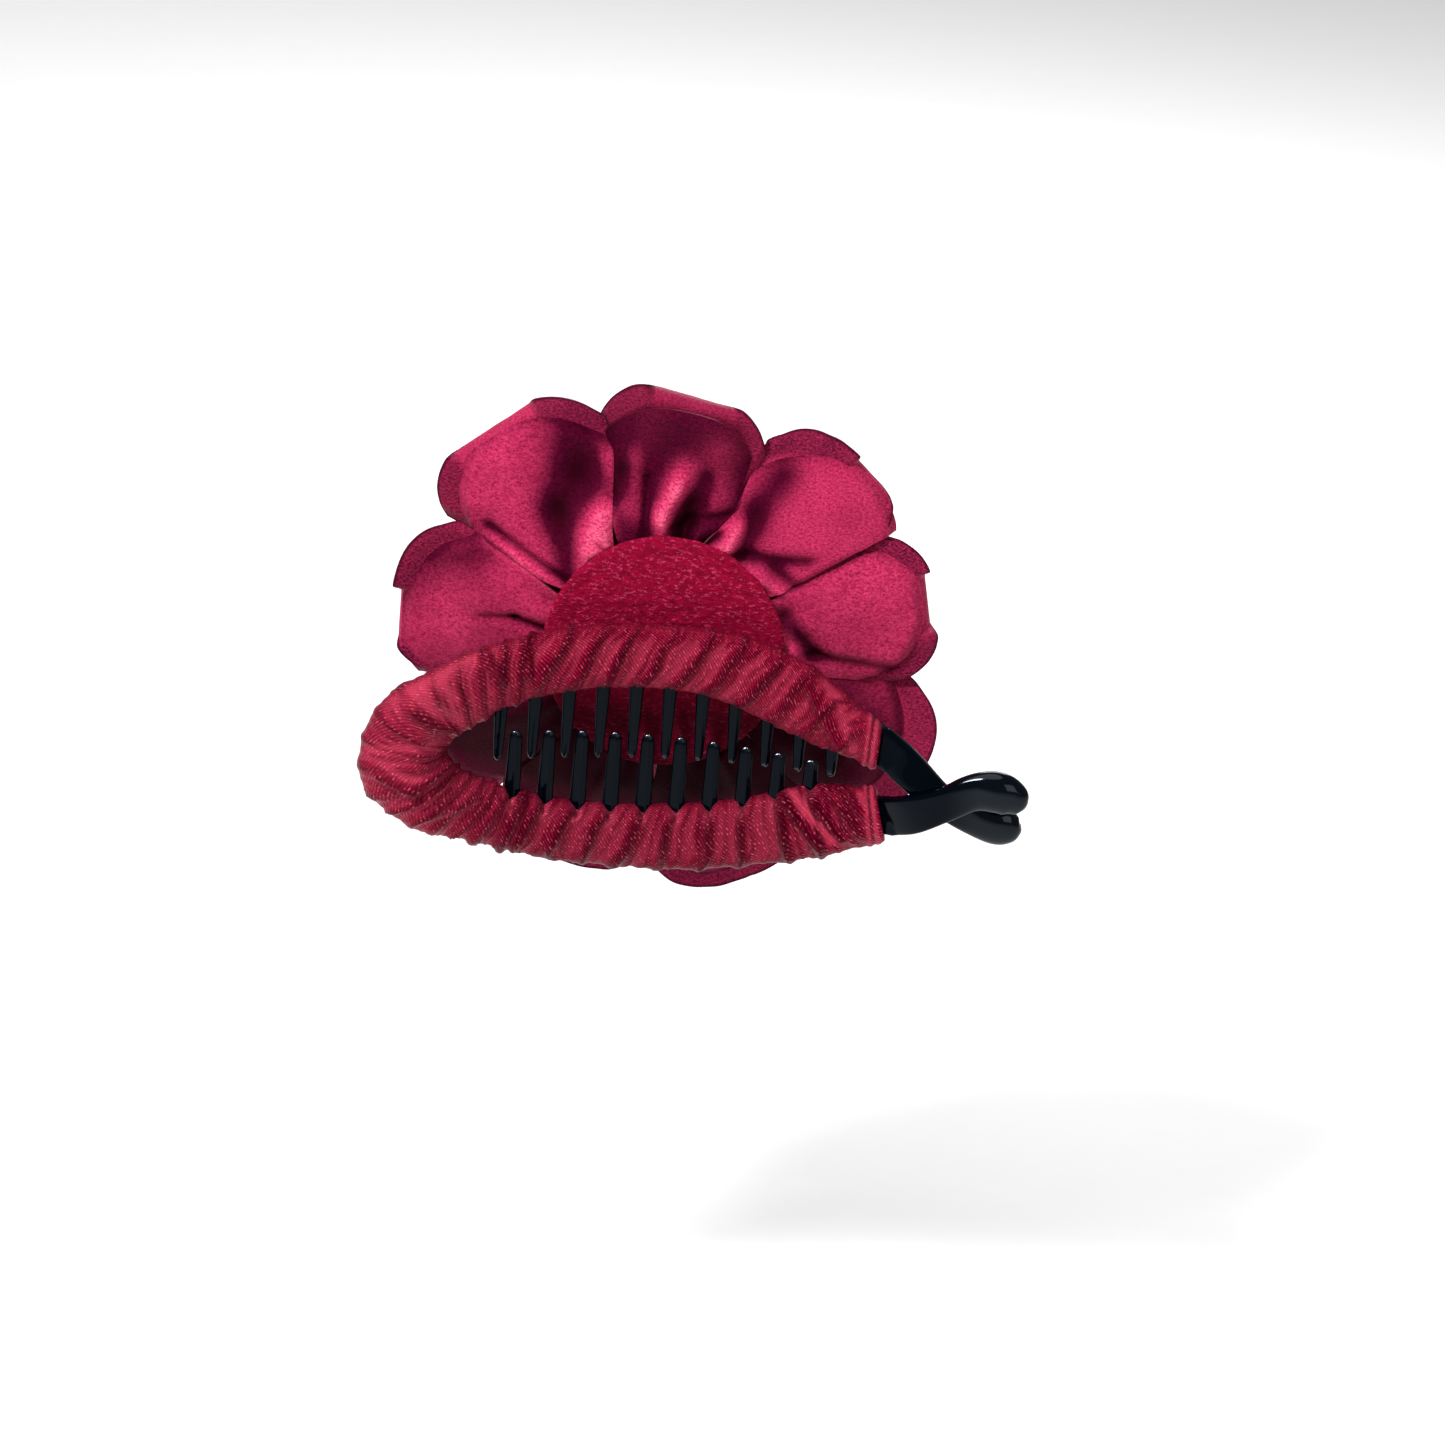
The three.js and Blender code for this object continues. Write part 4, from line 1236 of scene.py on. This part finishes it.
def back_petal(index):
    """The petal nearest the disc: gathered at the root, domed, with a rim that turns away."""
    middle, half, (_, reach, lean, roll_start, roll_end, shade) = lobe(index)
    is_top = index == TOP_LOBE
    u, v = petal_grid(73, 80)
    beside_roll = np.clip((np.abs(u - (roll_start + roll_end) / 2) - 0.25) / 0.75, 0, 2)
    shape = 1 - EAR_DEPTHS[index] * beside_roll**1.6 + 0.008 * noise(u * 3, index, 22)
    rim = reach * (1 + lean * u) * shape
    radius = PETAL_ROOT + (rim - PETAL_ROOT) * v
    spread = half * (0.82 + 0.2 * smooth(radius, 12, 32))
    # The top lobe's near side stays clear of its neighbour.
    narrowed = 1 - 0.15 * is_top * smooth(-u, 0, 1) * smooth(radius, 26, 44)
    angle = middle + u * spread * narrowed
    for gap, swing, width, end in SWUNG_GAPS:
        angle = angle + swing * bell(angle, gap, width) * (1 - smooth(radius, 19, end))
    x, z = polar(radius, angle)
    rise = smooth(radius, 16, 44)
    folds, painted_dark = fold_heights(PETAL_FOLDS, x, z)
    depth = back_surface(radius, angle % 360)
    depth = depth + 2.6 * np.abs(u) ** 2.6 * rise + 0.6 * u * rise
    depth = depth + 0.5 * np.cos(u * 8.5 + index * 1.9) * bell(radius, 22, 6) - folds
    depth = depth + 0.7 * noise(x / 9, z / 9, 31 + index) * rise
    depth = depth + 0.2 * noise(x / 3.2, z / 3.2, 51 + index) * rise
    turned = smooth(rim - radius, 3.0, 0.0)
    depth = depth + (0.4 if is_top else 1.5) * turned**1.6
    depth = np.maximum(depth, BEHIND_DISC - 4 * smooth(radius, 22.5, 26.5))
    # Painted shading: the folds' painted shade and highlights, the lobe's painted shade, painted shade
    # where the rim turns away, and a random change.
    painted_shading = 0.1 + painted_dark + shade + 0.3 * turned * (not is_top)
    painted_shading = painted_shading + 0.12 * noise(x / 7, z / 7, 33 + index)
    petal_piece(
        f"petal_back_cloth_{index + 1}",
        f"petal_back_{index + 1}",
        petal_points(radius, angle, depth),
        np.stack([x, z, 0 * x + index * 7.0], axis=-1),
        np.clip(painted_shading, *PAINTED_SHADING_LIMITS),
        satin=SATIN_BACK,
        edge_offset=2,
    )


def line_radius(first, last, a):
    """Radius, in the directions a, of the straight line between two places in X and Z."""
    x0, z0 = first
    x1, z1 = last
    return (x0 * z1 - x1 * z0) / np.maximum((z1 - z0) * np.cos(a) - (x1 - x0) * np.sin(a), 1e-6)


def outer_petal(index):
    """The larger petal behind: part of its rim rolls away between two open ears."""
    middle, half, (reach, _, lean, roll_start, roll_end, shade) = lobe(index)
    u, v = np.meshgrid(np.linspace(-1, 1, 97), np.linspace(0, 1, 96) ** 0.85)
    rim = reach * (1 + lean * u) * (1 - 0.15 * np.abs(u) ** 3.6)
    radius = PETAL_ROOT + (rim - PETAL_ROOT) * v
    from_rim = rim - radius
    near_rim = smooth(from_rim, 7.0, 0.0)
    angle = middle + u * half * (0.86 + 0.17 * smooth(radius, 14, 34))
    x, z = polar(radius, angle)
    rise = smooth(radius, 16, 46)
    folds = fold_heights(PETAL_FOLDS, x, z)[0]
    depth = back_surface(np.minimum(radius, 50), angle % 360) + 2.0 - np.minimum(folds, 0)
    depth = depth + 2.3 * np.abs(u) ** 2.6 * rise + 0.6 * u * rise
    depth = depth + 0.5 * noise(x / 10, z / 10, 81 + index) * rise
    # Past a straight line across the lobe the rim rolls away, but for the ears at its two ends.
    chord = np.full(u.shape, NO_ROLL)
    if roll_end > roll_start:
        first_rim = reach * (1 + lean * roll_start) - ROLL_INSET
        last_rim = reach * (1 + lean * roll_end) - ROLL_INSET
        first = polar(first_rim, middle + roll_start * half)
        last = polar(last_rim, middle + roll_end * half)
        beside = np.where(u <= roll_start, first_rim, last_rim)
        between = (u > roll_start) & (u < roll_end)
        chord = np.where(between, line_radius(first, last, np.radians(angle)), beside)
    roll = smooth(u, roll_start - ROLL_BLEND, roll_start + ROLL_BLEND)
    roll = roll * (1 - smooth(u, roll_end - ROLL_BLEND, roll_end + ROLL_BLEND))
    turn = np.minimum(np.maximum(radius - chord, 0) / ROLL_RADIUS, ROLL_TURN)
    rolled_radius = chord + ROLL_RADIUS * np.sin(turn)
    radius = np.where(radius > chord, radius * (1 - roll) + rolled_radius * roll, radius)
    depth = depth + ROLL_RADIUS * (1 - np.cos(turn)) * roll
    depth = depth - 1.3 * (1 - roll) * near_rim
    depth = depth + 1.2 * smooth(np.abs(u), 0.88, 1.0) * smooth(v, 0.7, 1)
    depth = depth + 0.35 * noise(u * 7, index * 3.0, 91) * near_rim
    ear = (1 - roll) * smooth(from_rim, 9.0, 4.5) * (1 - 0.35 * shade)
    petal_piece(
        f"petal_outer_cloth_{index + 1}",
        f"petal_outer_{index + 1}",
        petal_points(radius, angle, depth),
        np.stack([x + 40, z, 0 * x + index * 5.0], axis=-1),
        # Painted shade: the lobe's own, and more deeper in under the back petal.
        np.clip(0.12 + 0.4 * shade + 0.6 * smooth(from_rim, 9.0, 17.0), 0, 1),
        ear=ear * (0.85 + 0.15 * noise(x / 5, z / 5, 95)),
    )


def front_petal(layer, number, start, end, profile, rounding, curl, seed):
    """A petal of the front layers: cupped, with a softly rolled and rippled rim."""
    u, v = petal_grid(65, 60)
    rim = 1 - rounding * np.abs(u) ** 2.6 + 0.02 * noise(u * 2.6, number, seed)
    line = line_through(profile, v * rim)
    radius = line[..., 0]
    depth = line[..., 1]
    angle = (start + end) / 2 + u * (end - start) / 2 * (0.9 + 0.2 * smooth(v, 0.1, 0.6))
    lift = 1.6 * u**2 * smooth(radius, 10, 40) + 0.8 * u * smooth(v, 0.1, 0.7)
    rim_zone = smooth(v, 0.72, 1.0)
    ripple = 0.8 * noise(u * 3.2, number * 3.0, seed + 1) * rim_zone
    curled = curl * rim_zone**2 * (1.6 + 0.8 * noise(u * 2.0, number, seed + 2))
    fold = 0.5 * noise(u * 2.2, v * 2.2 + number * 7, seed + 3)
    radius = radius + curled + ripple + fold * smooth(v, 0.1, 0.5)
    gather = 0.5 * np.cos(u * 9 + number) * (1 - smooth(v, 0.1, 0.55))
    depth = depth + lift - curl * rim_zone**3 * 1.2 + gather
    points = petal_points(radius, angle, depth)
    cloth = [run_lengths(points, 0), np.radians(angle) * 30, 0 * radius + number * 9.0 + seed]
    petal_piece(
        f"{layer}_cloth_{number + 1}",
        f"{layer}_{number + 1}",
        points,
        np.stack(cloth, axis=-1),
        # Painted shade, darker towards the root.
        0.5 * (1 - smooth(v, 0.0, 0.45)),
    )


for index in range(len(LOBES)):
    back_petal(index)
    outer_petal(index)

# The front layers' petals from root to rim, as (radius, Y).
MIDDLE_PROFILE = [(8, 12.2), (18, 13.4), (28, 17), (35, 22), (38.5, 28)]
INNER_PROFILE = [(8.8, 15), (15, 16.6), (21, 21), (25, 27.5), (26, 33)]
HEART_PROFILE = [(9.6, 18.4), (12.6, 20.4), (15, 26), (15.8, 34)]
# Layer, count, first angle in degrees, profile, how rounded and how curled the rims are, seed.
LAYERS = [
    ("petal_middle", 7, 10, MIDDLE_PROFILE, 0.22, 1.3, 120),
    ("petal_inner", 5, 30, INNER_PROFILE, 0.22, 1.1, 140),
    ("petal_heart", 3, 75, HEART_PROFILE, 0.2, 0.7, 160),
]
for layer, count, first_angle, *looks in LAYERS:
    for index in range(count):
        start = first_angle + index * 360 / count
        front_petal(layer, index, start, start + 360 / count, *looks)

BUD_TURNS = 3.3
BUD_TOP = 37.0


def rolled_bud():
    """A strip of satin rolled on itself, whose upper edge steps down from the middle outwards."""
    t, h = np.meshgrid(np.linspace(0, BUD_TURNS, 260), np.linspace(0, 1, 50))
    radius = 1.1 + 2.05 * t + 0.25 * np.sin(t * 9)
    belly = 0.72 + 0.42 * np.sin(h * np.pi * 0.62)
    top = BUD_TOP - 0.9 * t + 0.7 * np.sin(t * 4.4)
    y = FLOWER_BACK + (top - FLOWER_BACK) * h
    flare = 0.5 * smooth(h, 0.86, 1.0) * (0.4 + 0.3 * np.sin(t * 5))
    points = petal_points(radius * belly + flare, t * 360, y)
    cloth = np.stack([t * 20, y, 0 * t], axis=-1)
    # Painted shade, darker towards the foot of the roll.
    petal_piece("bud_cloth", "bud", points, cloth, 0.6 * (1 - smooth(h, 0.4, 0.9)))


rolled_bud()

# ---- CAD nodes that stay ----
for node_name, material in (("hinge_pin", STEEL), ("glue_pad", GLUE)):
    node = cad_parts[node_name]
    node.data.materials.clear()
    node.data.materials.append(material)
